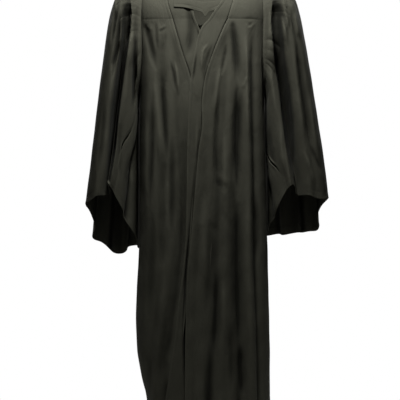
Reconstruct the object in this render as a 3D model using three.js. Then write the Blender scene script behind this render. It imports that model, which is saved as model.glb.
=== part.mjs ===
// A black graduation gown, hanging as it does when worn, with no wearer inside it.
// Millimetres, +Z up. The wearer faces -Y, and the wearer's left is +X.
// The origin is where the gown is held: inside the yoke, level with the back of the neck.
// "left" and "right" in the names of pieces are the wearer's.
// All cloth is a wall of one thickness, worked out from sections, fold tables and seam lines.

import * as THREE from "three";

const WALL = 2;
const SEAM_GAP = 0.4;
const ARMHOLE_CLEAR = 1.2;
const ARMPIT_CLEAR_FROM = -290;
const EDGE_STEP = 0.004;
const LAYER_GAP = 0.6;

// Heights.
const YOKE_SEAM_Z = -125;
const ARMPIT_Z = -335;
const HEM_Z = -1300;

// Body sections: where the middle is, half the width, and how far front and back stand from DEPTH_CENTRE_Y.
const DEPTH_CENTRE_Y = -20;
const ROUNDNESS = 0.83;
const BODY_SECTIONS = [
  { z: -1300, middleX: 12, half: 186, front: 115, back: 162 },
  { z: -1200, middleX: 3, half: 195, front: 113, back: 159 },
  { z: -1130, middleX: -4, half: 202, front: 112, back: 157 },
  { z: -1010, middleX: -7, half: 203, front: 110, back: 154 },
  { z: -780, middleX: -5, half: 195, front: 104, back: 146 },
  { z: -520, middleX: -8, half: 191, front: 98, back: 138 },
  { z: -335, middleX: -8, half: 189, front: 92, back: 132 },
  { z: -205, middleX: -8, half: 189, front: 80, back: 122 },
  { z: -125, middleX: -8, half: 189, front: 68, back: 106 },
];

// Armhole edges below the yoke: degrees from centre front for the front, from centre back for the back.
const ARMHOLE_EDGES = [
  { z: -335, front: 96, back: 84 },
  { z: -322, front: 90, back: 80 },
  { z: -295, front: 83, back: 73 },
  { z: -250, front: 77, back: 66 },
  { z: -205, front: 75, back: 61 },
  { z: -165, front: 76, back: 61 },
  { z: -125, front: 78, back: 64 },
];

// Shoulder line and neck.
const SHOULDER_TIP_X = 184;
const SHOULDER_TIP_Z = -45;
const SHOULDER_SLOPE = 0.34;
const SHOULDER_Y = 8;
const NECK_RISE = 14;
const NECK_RISE_HALF = 60;
const NECK_SIDE_X = 92;
const NECK_BACK_DEG = 38;

// Centre front lines, by height: the edge that shows of each facing, and the pleat edge of each front over it.
const FRONT_LINES = [
  { z: -1300, leftFree: -124, leftPleat: -58, rightFree: -40, rightPleat: -100 },
  { z: -1180, leftFree: -105, leftPleat: -58, rightFree: -18, rightPleat: -80 },
  { z: -1092, leftFree: -91, leftPleat: -57, rightFree: -4, rightPleat: -68 },
  { z: -972, leftFree: -78, leftPleat: -54, rightFree: 8, rightPleat: -56 },
  { z: -882, leftFree: -66, leftPleat: -51, rightFree: 14, rightPleat: -50 },
  { z: -792, leftFree: -58, leftPleat: -41, rightFree: 20, rightPleat: -44 },
  { z: -672, leftFree: -55, leftPleat: -31, rightFree: 24, rightPleat: -38 },
  { z: -522, leftFree: -53, leftPleat: -18, rightFree: 26, rightPleat: -34 },
  { z: -455, leftFree: -51, leftPleat: -8, rightFree: 26, rightPleat: -32 },
  { z: -378, leftFree: -48, leftPleat: -8, rightFree: 24, rightPleat: -34 },
  { z: -301, leftFree: -42, leftPleat: 3, rightFree: 16, rightPleat: -46 },
  { z: -225, leftFree: -30, leftPleat: 27, rightFree: 4, rightPleat: -70 },
  { z: -156, leftFree: -12, leftPleat: 55, rightFree: -18, rightPleat: -90 },
  { z: -125, leftFree: 14, leftPleat: 70, rightFree: -31, rightPleat: -99 },
];
// The same lines over the shoulder, by degrees up the yoke's curve from its front seam.
const NECK_LINES = [
  { up: 0, leftFree: 14, leftPleat: 70, rightFree: -31, rightPleat: -99 },
  { up: 25, leftFree: 50, leftPleat: 84, rightFree: -46, rightPleat: -113 },
  { up: 55, leftFree: 74, leftPleat: 98, rightFree: -74, rightPleat: -118 },
  { up: 90, leftFree: 86, leftPleat: 108, rightFree: -98, rightPleat: -120 },
];
const FACING_UNDER_PLEAT = 16;
const FACING_HIDDEN_DEEPER = 1.6;
const RIGHT_FRONT_BELOW = 6.5;
const RIGHT_FRONT_BELOW_OVER = 62;

// Folds: where the middle of each runs (x at three heights), half its width, and how far it pushes out (+) or in (-).
const FOLD_TOP_Z = -240;
const FOLD_MIDDLE_Z = -760;
const LEFT_FRONT_FOLDS = [
  { top: 66, middle: 36, hem: 8, half: 17, topPush: -7, middlePush: -9, hemPush: -9 },
  { top: 79, middle: 60, hem: 44, half: 15, topPush: 2, middlePush: 4, hemPush: 6 },
  { top: 93, middle: 95, hem: 106, half: 18, topPush: -8, middlePush: -16, hemPush: -18 },
  { top: 122, middle: 130, hem: 140, half: 17, topPush: 7, middlePush: 13, hemPush: 14 },
  { top: 146, middle: 153, hem: 166, half: 11, topPush: -6, middlePush: -12, hemPush: -13 },
];
const RIGHT_FRONT_FOLDS = [
  { top: -92, middle: -77, hem: -128, half: 16, topPush: -3, middlePush: -13, hemPush: -16 },
  { top: -112, middle: -104, hem: -150, half: 17, topPush: 3, middlePush: 6, hemPush: 8 },
  { top: -140, middle: -134, hem: -172, half: 18, topPush: -5, middlePush: -4, hemPush: -5 },
  { top: -168, middle: -166, hem: -190, half: 16, topPush: 5, middlePush: 6, hemPush: 4 },
];
const PLEAT_STANDS = 6;
const PLEAT_HALF = 16;

// Back: soft flutes that fall from the yoke seam.
const BACK_FLUTES = 9;
const BACK_FLUTE_PUSH = [
  { z: -1300, push: 19 },
  { z: -900, push: 16 },
  { z: -500, push: 11 },
  { z: -250, push: 6 },
  { z: -160, push: 3.5 },
  { z: -125, push: 0 },
];

// Sleeve sections, down the sleeve from the armhole (0) to the hem (1).
// outX, outZ is the outer fold, inX, inZ the side next to the body, fore and aft the depth each way from midY.
const LEFT_SLEEVE = {
  side: 1,
  sections: [
    { down: 0, outX: 176, outZ: -45, inX: 178, inZ: -335, inY: 0, fore: 62, aft: 62 },
    { down: 0.05, outX: 226, outZ: -24, inX: 186, inZ: -352, inY: 12, fore: 84, aft: 82 },
    { down: 0.1, outX: 259, outZ: -34, inX: 183, inZ: -372, inY: 26, fore: 94, aft: 92 },
    { down: 0.16, outX: 280, outZ: -66, inX: 179, inZ: -396, inY: 40, fore: 100, aft: 98 },
    { down: 0.24, outX: 297, outZ: -126, inX: 175, inZ: -428, inY: 50, fore: 106, aft: 104 },
    { down: 0.36, outX: 318, outZ: -238, inX: 174, inZ: -482, inY: 56, fore: 110, aft: 110 },
    { down: 0.5, outX: 336, outZ: -352, inX: 178, inZ: -548, inY: 58, fore: 113, aft: 114 },
    { down: 0.66, outX: 353, outZ: -466, inX: 178, inZ: -622, inY: 60, fore: 116, aft: 118 },
    { down: 0.82, outX: 369, outZ: -568, inX: 180, inZ: -694, inY: 60, fore: 118, aft: 122 },
    { down: 1, outX: 380, outZ: -667, inX: 182, inZ: -765, inY: 60, fore: 120, aft: 126 },
  ],
  folds: [
    { head: 30, hem: 30, half: 17, push: 5, lean: 0, from: 0.1 },
    { head: 60, hem: 56, half: 10, push: -9, lean: 0, from: 0 },
    { head: 118, hem: 87, half: 14, push: -66, lean: 5, from: -0.06 },
    { head: 140, hem: 105, half: 12, push: 12, lean: -10, from: -0.04 },
    { head: 165, hem: 162, half: 11, push: -20, lean: 0, from: 0.1 },
    { head: 236, hem: 232, half: 15, push: -34, lean: 0, from: -0.02 },
    { head: 262, hem: 262, half: 12, push: 10, lean: 0, from: 0 },
    { head: 292, hem: 294, half: 14, push: -36, lean: 0, from: -0.02 },
    { head: 322, hem: 322, half: 12, push: -6, lean: 0, from: 0.08 },
    { head: 345, hem: 342, half: 10, push: -26, lean: 0, from: 0.2 },
  ],
  hem: [
    { around: 0, rise: 0 },
    { around: 40, rise: 10 },
    { around: 72, rise: 48 },
    { around: 88, rise: 64 },
    { around: 97, rise: 84 },
    { around: 105, rise: 100 },
    { around: 116, rise: 80 },
    { around: 134, rise: 42 },
    { around: 160, rise: 12 },
    { around: 180, rise: -8 },
    { around: 215, rise: -30 },
    { around: 270, rise: -62 },
    { around: 300, rise: -74 },
    { around: 322, rise: -86 },
    { around: 336, rise: -60 },
    { around: 348, rise: -14 },
    { around: 360, rise: 0 },
  ],
  seam: [
    { down: 0, around: 158 },
    { down: 0.35, around: 159 },
    { down: 0.5, around: 156 },
    { down: 0.6, around: 142 },
    { down: 0.72, around: 124 },
    { down: 0.85, around: 115 },
    { down: 1, around: 111 },
  ],
  slit: { from: 0.46, to: 0.76, open: 9 },
};
const RIGHT_SLEEVE = {
  side: -1,
  sections: [
    { down: 0, outX: 192, outZ: -45, inX: 194, inZ: -335, inY: 0, fore: 62, aft: 62 },
    { down: 0.05, outX: 234, outZ: -24, inX: 201, inZ: -352, inY: 12, fore: 84, aft: 82 },
    { down: 0.1, outX: 263, outZ: -34, inX: 198, inZ: -372, inY: 26, fore: 92, aft: 90 },
    { down: 0.16, outX: 281, outZ: -68, inX: 195, inZ: -396, inY: 40, fore: 98, aft: 96 },
    { down: 0.24, outX: 296, outZ: -124, inX: 191, inZ: -430, inY: 50, fore: 102, aft: 102 },
    { down: 0.36, outX: 311, outZ: -236, inX: 190, inZ: -486, inY: 56, fore: 106, aft: 108 },
    { down: 0.5, outX: 327, outZ: -356, inX: 194, inZ: -556, inY: 58, fore: 109, aft: 112 },
    { down: 0.66, outX: 340, outZ: -473, inX: 196, inZ: -634, inY: 60, fore: 112, aft: 116 },
    { down: 0.82, outX: 353, outZ: -582, inX: 198, inZ: -710, inY: 60, fore: 114, aft: 120 },
    { down: 1, outX: 366, outZ: -690, inX: 201, inZ: -785, inY: 60, fore: 116, aft: 124 },
  ],
  folds: [
    { head: 20, hem: 24, half: 16, push: 5, lean: 0, from: 0.1 },
    { head: 66, hem: 74, half: 11, push: -60, lean: 6, from: -0.06 },
    { head: 88, hem: 90, half: 11, push: 12, lean: -10, from: -0.04 },
    { head: 146, hem: 148, half: 12, push: -38, lean: 0, from: -0.02 },
    { head: 174, hem: 176, half: 9, push: 5, lean: 0, from: 0.1 },
    { head: 230, hem: 228, half: 15, push: -30, lean: 0, from: -0.02 },
    { head: 257, hem: 257, half: 12, push: 10, lean: 0, from: 0 },
    { head: 286, hem: 285, half: 14, push: -36, lean: 0, from: -0.02 },
    { head: 316, hem: 318, half: 12, push: 4, lean: 0, from: 0.08 },
    { head: 341, hem: 341, half: 9, push: -22, lean: 0, from: 0.2 },
  ],
  hem: [
    { around: 0, rise: 0 },
    { around: 34, rise: 22 },
    { around: 62, rise: 62 },
    { around: 76, rise: 86 },
    { around: 88, rise: 114 },
    { around: 99, rise: 86 },
    { around: 118, rise: 56 },
    { around: 134, rise: 36 },
    { around: 158, rise: -6 },
    { around: 180, rise: -36 },
    { around: 200, rise: -30 },
    { around: 240, rise: -72 },
    { around: 270, rise: -104 },
    { around: 300, rise: -92 },
    { around: 325, rise: -92 },
    { around: 340, rise: -52 },
    { around: 350, rise: -10 },
    { around: 360, rise: 0 },
  ],
  seam: [
    { down: 0, around: 134 },
    { down: 0.3, around: 132 },
    { down: 0.44, around: 121 },
    { down: 0.6, around: 103 },
    { down: 0.8, around: 98 },
    { down: 1, around: 96 },
  ],
  slit: { from: 0.42, to: 0.66, open: 6 },
};
const UNDERARM_SEAM_DEG = 200;
const SLEEVE_HEAD_BLEND = 0.14;
const HEM_RISE_POWER = 2.4;
const SLEEVE_FOLD_GROWTH = 0.55;
const SLEEVE_FOLD_DRIFT = 2.5;
const SEAM_LINE_SPREAD = 20;
const SLEEVE_SEAM_GAP = 0.8;
const SLEEVE_GATHERS = { count: 15, push: 6, from: 0.02, to: 0.34 };
const SLEEVE_CLEAR = 7;
const SLEEVE_CLEAR_SOFTNESS = 6;

// Neck strap: a soft band that crosses the opening, with a short tab at its lower edge.
// proud is how far it stands from the yoke's form.
const STRAP_LINE = [
  { across: 0, x: -94, upper: -52, lower: -88, proud: -0.2 },
  { across: 0.3, x: -56, upper: -58, lower: -92, proud: 0.05 },
  { across: 0.58, x: -6, upper: -64, lower: -105, proud: -1.5 },
  { across: 0.78, x: 22, upper: -60, lower: -100, proud: -5.15 },
  { across: 1, x: 58, upper: -50, lower: -80, proud: -6.1 },
];
const TAB = { x: 1, half: 7, drop: 14 };

const radians = (degrees) => (degrees * Math.PI) / 180;
const degrees = (value) => (value * 180) / Math.PI;
const signedPower = (value, power) => Math.sign(value) * Math.abs(value) ** power;
const clamp = (value, low, high) => Math.min(high, Math.max(low, value));
const smooth = (value) => {
  const t = clamp(value, 0, 1);
  return t * t * (3 - 2 * t);
};
const bump = (distance, half) => Math.exp(-((distance / half) ** 2));

// Reads a column of a table at a place between its rows, on a smooth curve through them.
function read(table, key, column, at) {
  const last = table.length - 1;
  const rising = table[last][key] > table[0][key];
  const rows = rising ? table : [...table].reverse();
  const place = clamp(at, rows[0][key], rows[last][key]);
  let i = 0;
  while (i < last - 1 && place > rows[i + 1][key]) i += 1;
  const slope = (k) => {
    const before = rows[Math.max(k - 1, 0)];
    const after = rows[Math.min(k + 1, last)];
    return (after[column] - before[column]) / (after[key] - before[key]);
  };
  const step = rows[i + 1][key] - rows[i][key];
  const t = (place - rows[i][key]) / step;
  const h00 = 2 * t ** 3 - 3 * t ** 2 + 1;
  const h10 = t ** 3 - 2 * t ** 2 + t;
  const start = h00 * rows[i][column] + h10 * step * slope(i);
  return start + (1 - h00) * rows[i + 1][column] + (t ** 3 - t ** 2) * step * slope(i + 1);
}

// The body's plain form at an angle from centre front (0) by the wearer's left (90) to centre back (180).
function bodyBase(angle, z) {
  const section = (column) => read(BODY_SECTIONS, "z", column, z);
  const s = Math.sin(radians(angle));
  const c = Math.cos(radians(angle));
  const depth = c > 0 ? section("front") : section("back");
  return {
    x: section("middleX") + section("half") * signedPower(s, ROUNDNESS),
    y: DEPTH_CENTRE_Y - depth * signedPower(c, ROUNDNESS),
  };
}

// The angle of the front that stands at x.
function frontAngle(x, z) {
  const across = (x - read(BODY_SECTIONS, "z", "middleX", z)) / read(BODY_SECTIONS, "z", "half", z);
  return degrees(Math.asin(clamp(signedPower(across, 1 / ROUNDNESS), -1, 1)));
}

// A point of the body's form, pushed out along its normal.
function bodyPoint(angle, z, push) {
  const at = bodyBase(angle, z);
  const before = bodyBase(angle - 0.5, z);
  const after = bodyBase(angle + 0.5, z);
  const out = new THREE.Vector2(after.y - before.y, before.x - after.x).normalize();
  return new THREE.Vector3(at.x + out.x * push, at.y + out.y * push, z);
}

// How far the folds of a front push it out at x and z.
function frontPush(folds, x, z) {
  const fadeIn = smooth((YOKE_SEAM_Z - z) / (YOKE_SEAM_Z - FOLD_TOP_Z));
  return folds.reduce((sum, fold) => {
    const upper = smooth((z - FOLD_MIDDLE_Z) / (FOLD_TOP_Z - FOLD_MIDDLE_Z));
    const lower = smooth((FOLD_MIDDLE_Z - z) / (FOLD_MIDDLE_Z - HEM_Z));
    const mix = (top, middle, hem) => middle + (top - middle) * upper + (hem - middle) * lower;
    const middleX = mix(fold.top, fold.middle, fold.hem);
    return sum + mix(fold.topPush, fold.middlePush, fold.hemPush) * bump(x - middleX, fold.half);
  }, 0) * fadeIn;
}

// A wall of cloth over a grid of outer points. pointAt takes two shares, across and down.
function wall(name, material, columns, rows, pointAt, thickness = WALL) {
  const grid = [];
  for (let j = 0; j <= rows; j += 1) {
    for (let i = 0; i <= columns; i += 1) grid.push(pointAt(i / columns, j / rows));
  }
  const at = (i, j) => grid[j * (columns + 1) + i];
  // The way a line of the grid runs: between its neighbours, or over a short step at the cloth's edge.
  const alongLine = (k, last, before, after, stepTo) => {
    if (k > 0 && k < last) return after().clone().sub(before());
    const step = k === 0 ? EDGE_STEP : -EDGE_STEP;
    return stepTo(k / last + step).sub(stepTo(k / last)).multiplyScalar(Math.sign(step));
  };
  const inner = [];
  for (let j = 0; j <= rows; j += 1) {
    for (let i = 0; i <= columns; i += 1) {
      const acrossTo = (share) => pointAt(share, j / rows);
      const downTo = (share) => pointAt(i / columns, share);
      const across = alongLine(i, columns, () => at(i - 1, j), () => at(i + 1, j), acrossTo);
      const down = alongLine(j, rows, () => at(i, j - 1), () => at(i, j + 1), downTo);
      const normal = down.cross(across).normalize();
      inner.push(at(i, j).clone().addScaledVector(normal, -thickness));
    }
  }
  const index = [];
  const outerAt = (i, j) => j * (columns + 1) + i;
  const innerAt = (i, j) => grid.length + outerAt(i, j);
  const quad = (a, b, c, d) => index.push(a, b, c, a, c, d);
  for (let j = 0; j < rows; j += 1) {
    for (let i = 0; i < columns; i += 1) {
      quad(outerAt(i, j), outerAt(i, j + 1), outerAt(i + 1, j + 1), outerAt(i + 1, j));
      quad(innerAt(i, j), innerAt(i + 1, j), innerAt(i + 1, j + 1), innerAt(i, j + 1));
    }
  }
  for (let i = 0; i < columns; i += 1) {
    quad(outerAt(i, 0), outerAt(i + 1, 0), innerAt(i + 1, 0), innerAt(i, 0));
    quad(outerAt(i, rows), innerAt(i, rows), innerAt(i + 1, rows), outerAt(i + 1, rows));
  }
  for (let j = 0; j < rows; j += 1) {
    quad(outerAt(0, j), innerAt(0, j), innerAt(0, j + 1), outerAt(0, j + 1));
    quad(outerAt(columns, j), outerAt(columns, j + 1), innerAt(columns, j + 1), innerAt(columns, j));
  }
  const points = [...grid, ...inner];
  const geometry = new THREE.BufferGeometry();
  geometry.setAttribute("position", new THREE.Float32BufferAttribute(points.flatMap((p) => p.toArray()), 3));
  geometry.setIndex(index);
  const mesh = new THREE.Mesh(geometry, material);
  mesh.name = name;
  return mesh;
}

// The height of the shoulder line at x.
function shoulderZ(x) {
  const fromMiddle = Math.abs(x - read(BODY_SECTIONS, "z", "middleX", YOKE_SEAM_Z));
  const neckRise = NECK_RISE * bump(fromMiddle, NECK_RISE_HALF);
  return SHOULDER_TIP_Z + (SHOULDER_TIP_X - fromMiddle) * SHOULDER_SLOPE + neckRise;
}

// Half the width of the yoke between its armhole edges, and the same at the seam below it.
// up is 0 at the front seam, 90 on the shoulder line and 180 at the back seam.
function yokeReach(up) {
  const edges = ARMHOLE_EDGES.at(-1);
  const angle = up < 90 ? edges.front : 180 - edges.back;
  const seam = bodyBase(angle, YOKE_SEAM_Z).x - read(BODY_SECTIONS, "z", "middleX", YOKE_SEAM_Z);
  return { seam, here: seam + (SHOULDER_TIP_X - seam) * Math.sin(radians(up)) };
}

function yokeArmholeX(side, up) {
  return read(BODY_SECTIONS, "z", "middleX", YOKE_SEAM_Z) + side * yokeReach(up).here;
}

// The yoke's curve over the shoulder at x.
function yokePoint(x, up, push = 0) {
  const middleX = read(BODY_SECTIONS, "z", "middleX", YOKE_SEAM_Z);
  const reach = yokeReach(up);
  const angle = frontAngle(middleX + ((x - middleX) * reach.seam) / reach.here, YOKE_SEAM_Z);
  const foot = bodyBase(up < 90 ? angle : 180 - angle, YOKE_SEAM_Z);
  const s = Math.sin(radians(up));
  const c = Math.abs(Math.cos(radians(up)));
  const y = SHOULDER_Y + (foot.y - SHOULDER_Y) * c;
  const z = YOKE_SEAM_Z + (shoulderZ(x) - YOKE_SEAM_Z) * s;
  const away = new THREE.Vector2(Math.sign(foot.y - SHOULDER_Y) * c, s).normalize();
  return new THREE.Vector3(x, y + away.x * push, z + away.y * push);
}

function neckLine(column, up) {
  return read(NECK_LINES, "up", column, up);
}

function frontLine(column, z) {
  return read(FRONT_LINES, "z", column, z);
}

function armholeAngle(side, z, which) {
  const edge = z < ARMPIT_Z ? ARMHOLE_EDGES[0][which] : read(ARMHOLE_EDGES, "z", which, z);
  return side * (which === "front" ? edge : 180 - edge);
}

// How much of the left front's edge covers the place: 0 clear of it, 1 below it.
function covered(x, z) {
  const start = frontLine("leftFree", z) - RIGHT_FRONT_BELOW_OVER;
  return smooth((x - start) / RIGHT_FRONT_BELOW_OVER);
}

// Heights of the rows of the body's panels: closer together round the armhole.
const PANEL_HEIGHTS = [
  -125, -155, -190, -230, -270, -300, -322, -335, -420, -530, -650, -770, -900, -1030, -1160, -1300,
];
function panelHeight(down, top) {
  const place = down * (PANEL_HEIGHTS.length - 1);
  const row = Math.min(Math.floor(place), PANEL_HEIGHTS.length - 2);
  const z = PANEL_HEIGHTS[row] + (PANEL_HEIGHTS[row + 1] - PANEL_HEIGHTS[row]) * (place - row);
  return z - (YOKE_SEAM_Z - top) * (1 - smooth(place));
}

function front(side, folds, material) {
  const name = side > 0 ? "front_left" : "front_right";
  const pleat = side > 0 ? "leftPleat" : "rightPleat";
  return wall(name, material, 22, PANEL_HEIGHTS.length - 1, (across, down) => {
    const z = panelHeight(down, YOKE_SEAM_Z - SEAM_GAP / 2);
    const pleatX = frontLine(pleat, z);
    const inner = frontAngle(pleatX, z);
    const outer = armholeAngle(side, z, "front") - side * degrees(SEAM_GAP / 2 / 186);
    const share = side > 0 ? across : 1 - across;
    const angle = inner + (outer - inner) * share;
    const x = bodyBase(angle, z).x;
    const sideFade = smooth((1 - share) / 0.12);
    const cover = side > 0 ? 0 : covered(x, z);
    const stands = PLEAT_STANDS * bump(x - pleatX, PLEAT_HALF) * smooth((YOKE_SEAM_Z - z) / 60);
    const lift = stands * (1 - cover) - RIGHT_FRONT_BELOW * cover;
    return bodyPoint(angle, z, frontPush(folds, x, z) * sideFade + lift);
  });
}

function facing(side, folds, material) {
  const name = side > 0 ? "facing_left" : "facing_right";
  const free = side > 0 ? "leftFree" : "rightFree";
  const pleat = side > 0 ? "leftPleat" : "rightPleat";
  const under = -(WALL + LAYER_GAP);
  const neckRows = 6;
  const rows = PANEL_HEIGHTS.length - 1 + neckRows;
  return wall(name, material, 5, rows, (across, down) => {
    const place = down * rows;
    const share = side > 0 ? across : 1 - across;
    if (place < neckRows) {
      const up = 90 - (90 * place) / neckRows;
      const start = neckLine(free, up);
      const end = neckLine(pleat, up) + side * FACING_UNDER_PLEAT;
      return yokePoint(start + (end - start) * share, Math.min(up, 89.9), under - FACING_HIDDEN_DEEPER * share ** 3);
    }
    const z = panelHeight((place - neckRows) / (PANEL_HEIGHTS.length - 1), YOKE_SEAM_Z);
    const start = frontLine(free, z);
    const x = start + (frontLine(pleat, z) + side * FACING_UNDER_PLEAT - start) * share;
    const lower = side > 0 ? 0 : RIGHT_FRONT_BELOW * covered(x, z);
    const deeper = FACING_HIDDEN_DEEPER * share ** 3;
    return bodyPoint(frontAngle(x, z), z, frontPush(folds, x, z) - lower + under - deeper);
  });
}

function frontYoke(side, material) {
  const name = side > 0 ? "yoke_front_left" : "yoke_front_right";
  const pleat = side > 0 ? "leftPleat" : "rightPleat";
  return wall(name, material, 8, 6, (across, down) => {
    const up = 90 * (1 - down);
    const share = side > 0 ? across : 1 - across;
    const start = neckLine(pleat, up);
    const x = start + (yokeArmholeX(side, Math.min(up, 89.9)) - start) * share;
    const point = yokePoint(x, Math.min(up, 89.9));
    point.y -= (SEAM_GAP / 2) * smooth(1 - down * 3);
    point.z += (SEAM_GAP / 2) * smooth(down * 3 - 2);
    return point;
  });
}

function backYoke(material) {
  return wall("yoke_back", material, 24, 6, (across, down) => {
    const toRight = 1 - 2 * across;
    const side = Math.sign(toRight) || 1;
    const reach = Math.abs(toRight);
    const middleX = read(BODY_SECTIONS, "z", "middleX", YOKE_SEAM_Z);
    const rough = middleX + side * reach * SHOULDER_TIP_X;
    const neck = Math.max(0, 1 - (Math.abs(rough - middleX) / NECK_SIDE_X) ** 2);
    const topUp = 90.1 + NECK_BACK_DEG * Math.sqrt(neck);
    const up = topUp + (180 - topUp) * down;
    const x = middleX + side * reach * Math.abs(yokeArmholeX(side, up) - middleX);
    const point = yokePoint(x, up);
    point.y += (SEAM_GAP / 2) * smooth(1 - down * 3);
    point.z += (SEAM_GAP / 2) * smooth(down * 3 - 2);
    return point;
  });
}

function back(material) {
  return wall("back", material, 44, PANEL_HEIGHTS.length - 1, (across, down) => {
    const z = panelHeight(down, YOKE_SEAM_Z - SEAM_GAP / 2);
    const trim = degrees(SEAM_GAP / 2 / 186);
    const left = armholeAngle(1, z, "back") + trim;
    const right = 360 + armholeAngle(-1, z, "back") - trim;
    const angle = left + (right - left) * across;
    const fade = smooth(Math.min(across, 1 - across) / 0.06);
    const wave = Math.cos(2 * Math.PI * (BACK_FLUTES * across + 0.12 * Math.sin(2 * Math.PI * across * 2)));
    return bodyPoint(angle, z, wave * read(BACK_FLUTE_PUSH, "z", "push", z) * fade);
  });
}

// The armhole as a line of points, from the shoulder tip by the front to the armpit and back by the back.
// It runs just outside the edges of the yoke and the panels, by ARMHOLE_CLEAR along their surface.
function armholeLine(side) {
  const points = [];
  const clear = degrees(ARMHOLE_CLEAR / 110);
  const beyond = side * ARMHOLE_CLEAR;
  for (let up = 90; up > 0; up -= 10) {
    points.push(yokePoint(yokeArmholeX(side, Math.min(up, 89.9)) + beyond, Math.min(up, 89.9)));
  }
  const heights = PANEL_HEIGHTS.filter((z) => z >= ARMPIT_Z);
  const edgePoint = (z, which) => {
    const turn = which === "front" ? side * clear : -side * clear;
    const point = bodyPoint(armholeAngle(side, z, which) + turn, z, 0);
    point.z += ARMHOLE_CLEAR * smooth((ARMPIT_CLEAR_FROM - z) / (ARMPIT_CLEAR_FROM - ARMPIT_Z));
    return point;
  };
  for (const z of heights) points.push(edgePoint(z, "front"));
  const armpitPoint = points.length - 1;
  for (const z of heights.slice(0, -1).reverse()) points.push(edgePoint(z, "back"));
  for (let up = 170; up > 90; up -= 10) points.push(yokePoint(yokeArmholeX(side, up) + beyond, up));
  points.push(points[0].clone());
  const along = [0];
  points.forEach((p, k) => k && along.push(along[k - 1] + p.distanceTo(points[k - 1])));
  const armpit = along[armpitPoint];
  return (around) => {
    const turn = ((around % 360) + 360) % 360;
    const goal = turn <= 180
      ? (armpit * turn) / 180
      : armpit + ((along.at(-1) - armpit) * (turn - 180)) / 180;
    let k = 0;
    while (k < points.length - 2 && along[k + 1] < goal) k += 1;
    return points[k].clone().lerp(points[k + 1], (goal - along[k]) / (along[k + 1] - along[k]));
  };
}

// Keeps a point of a sleeve beside the body's form, so that the sleeve lies along the body and not in it.
function besideBody(point) {
  const z = Math.max(point.z, HEM_Z);
  const section = (column) => read(BODY_SECTIONS, "z", column, z);
  const depth = point.y < DEPTH_CENTRE_Y ? section("front") : section("back");
  const share = Math.min(1, Math.abs(point.y - DEPTH_CENTRE_Y) / depth);
  const c = share ** (1 / ROUNDNESS);
  const half = section("half") * Math.sqrt(1 - c * c) ** ROUNDNESS;
  const flute = point.y > DEPTH_CENTRE_Y ? read(BACK_FLUTE_PUSH, "z", "push", z) * smooth((c - 0.1) / 0.4) : 0;
  const side = Math.sign(point.x);
  const limit = side * section("middleX") + half + SLEEVE_CLEAR + flute;
  const gap = side * point.x - limit;
  const kept = (gap + Math.sqrt(gap * gap + SLEEVE_CLEAR_SOFTNESS ** 2)) / 2;
  point.x = side * (limit + kept);
  return point;
}

// The sleeve's lines run from armhole to hem and follow the forearm seam and the folds.
// A line is named by its angle at the hem, but between the last fold and the seam the names are spread out.
function seamLine(sleeve) {
  return sleeve.seam.at(-1).around + SEAM_LINE_SPREAD;
}

// The angle at which a line stands at a place down the sleeve. apart moves the seam's edge for the slit.
function sleeveAngle(sleeve, line, down, apart) {
  const drift = (1 - down) ** SLEEVE_FOLD_DRIFT;
  const lines = sleeve.folds
    .map((fold) => ({ hem: fold.hem > UNDERARM_SEAM_DEG ? fold.hem - 360 : fold.hem, shift: fold.head - fold.hem }))
    .filter((fold) => fold.hem < sleeve.seam.at(-1).around)
    .map((fold) => ({ hem: fold.hem, now: fold.hem + fold.shift * drift }));
  lines.push({ hem: UNDERARM_SEAM_DEG - 360, now: UNDERARM_SEAM_DEG - 360 });
  lines.push({ hem: UNDERARM_SEAM_DEG, now: UNDERARM_SEAM_DEG });
  const seamNow = read(sleeve.seam, "down", "around", down) + apart;
  lines.push({ hem: seamLine(sleeve), now: seamNow });
  lines.sort((a, b) => a.hem - b.hem);
  let k = 0;
  while (k < lines.length - 2 && lines[k + 1].hem < line) k += 1;
  const share = (line - lines[k].hem) / (lines[k + 1].hem - lines[k].hem);
  return lines[k].now + (lines[k + 1].now - lines[k].now) * share;
}

function makeSleevePoint(sleeve) {
  const armhole = armholeLine(sleeve.side);
  const gather = SLEEVE_GATHERS;
  return (line, down, apart) => {
    const around = sleeveAngle(sleeve, line, down, apart);
    const atHem = (sleeveAngle(sleeve, line, 1, 0) + 360) % 360;
    const section = (column) => read(sleeve.sections, "down", column, down);
    const c = Math.cos(radians(around));
    const s = Math.sin(radians(around));
    const out = new THREE.Vector3(section("outX"), SHOULDER_Y, section("outZ"));
    const inside = new THREE.Vector3(section("inX"), section("inY"), section("inZ"));
    const centre = out.clone().add(inside).multiplyScalar(0.5);
    const reach = out.clone().sub(inside).multiplyScalar(0.5 * c);
    reach.y -= s > 0 ? section("fore") * s : section("aft") * s;
    const aside = new THREE.Vector3(0, -c, 0).addScaledVector(out.clone().sub(inside).normalize(), -s);
    const away = reach.clone().normalize();
    for (const fold of sleeve.folds) {
      const turned = Math.abs(line - fold.hem) % 360;
      const grown = smooth((down - fold.from) / 0.24) * down ** SLEEVE_FOLD_GROWTH;
      const here = grown * bump(Math.min(turned, 360 - turned), fold.half);
      reach.addScaledVector(away, fold.push * here);
      reach.addScaledVector(aside, fold.lean * here);
    }
    const fadeOut = 1 - smooth((down - gather.from) / (gather.to - gather.from));
    const gathered = gather.push * smooth((down - gather.from) / 0.06) * fadeOut;
    reach.addScaledVector(away, gathered * Math.cos(radians((line - seamLine(sleeve)) * gather.count)));
    const hanging = centre.add(reach);
    hanging.z += read(sleeve.hem, "around", "rise", atHem) * down ** HEM_RISE_POWER;
    hanging.x *= sleeve.side;
    besideBody(hanging);
    const left = clamp(down / SLEEVE_HEAD_BLEND, 0, 1);
    return armhole(around).lerp(hanging, (smooth(left) + left) / 2);
  };
}

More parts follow.
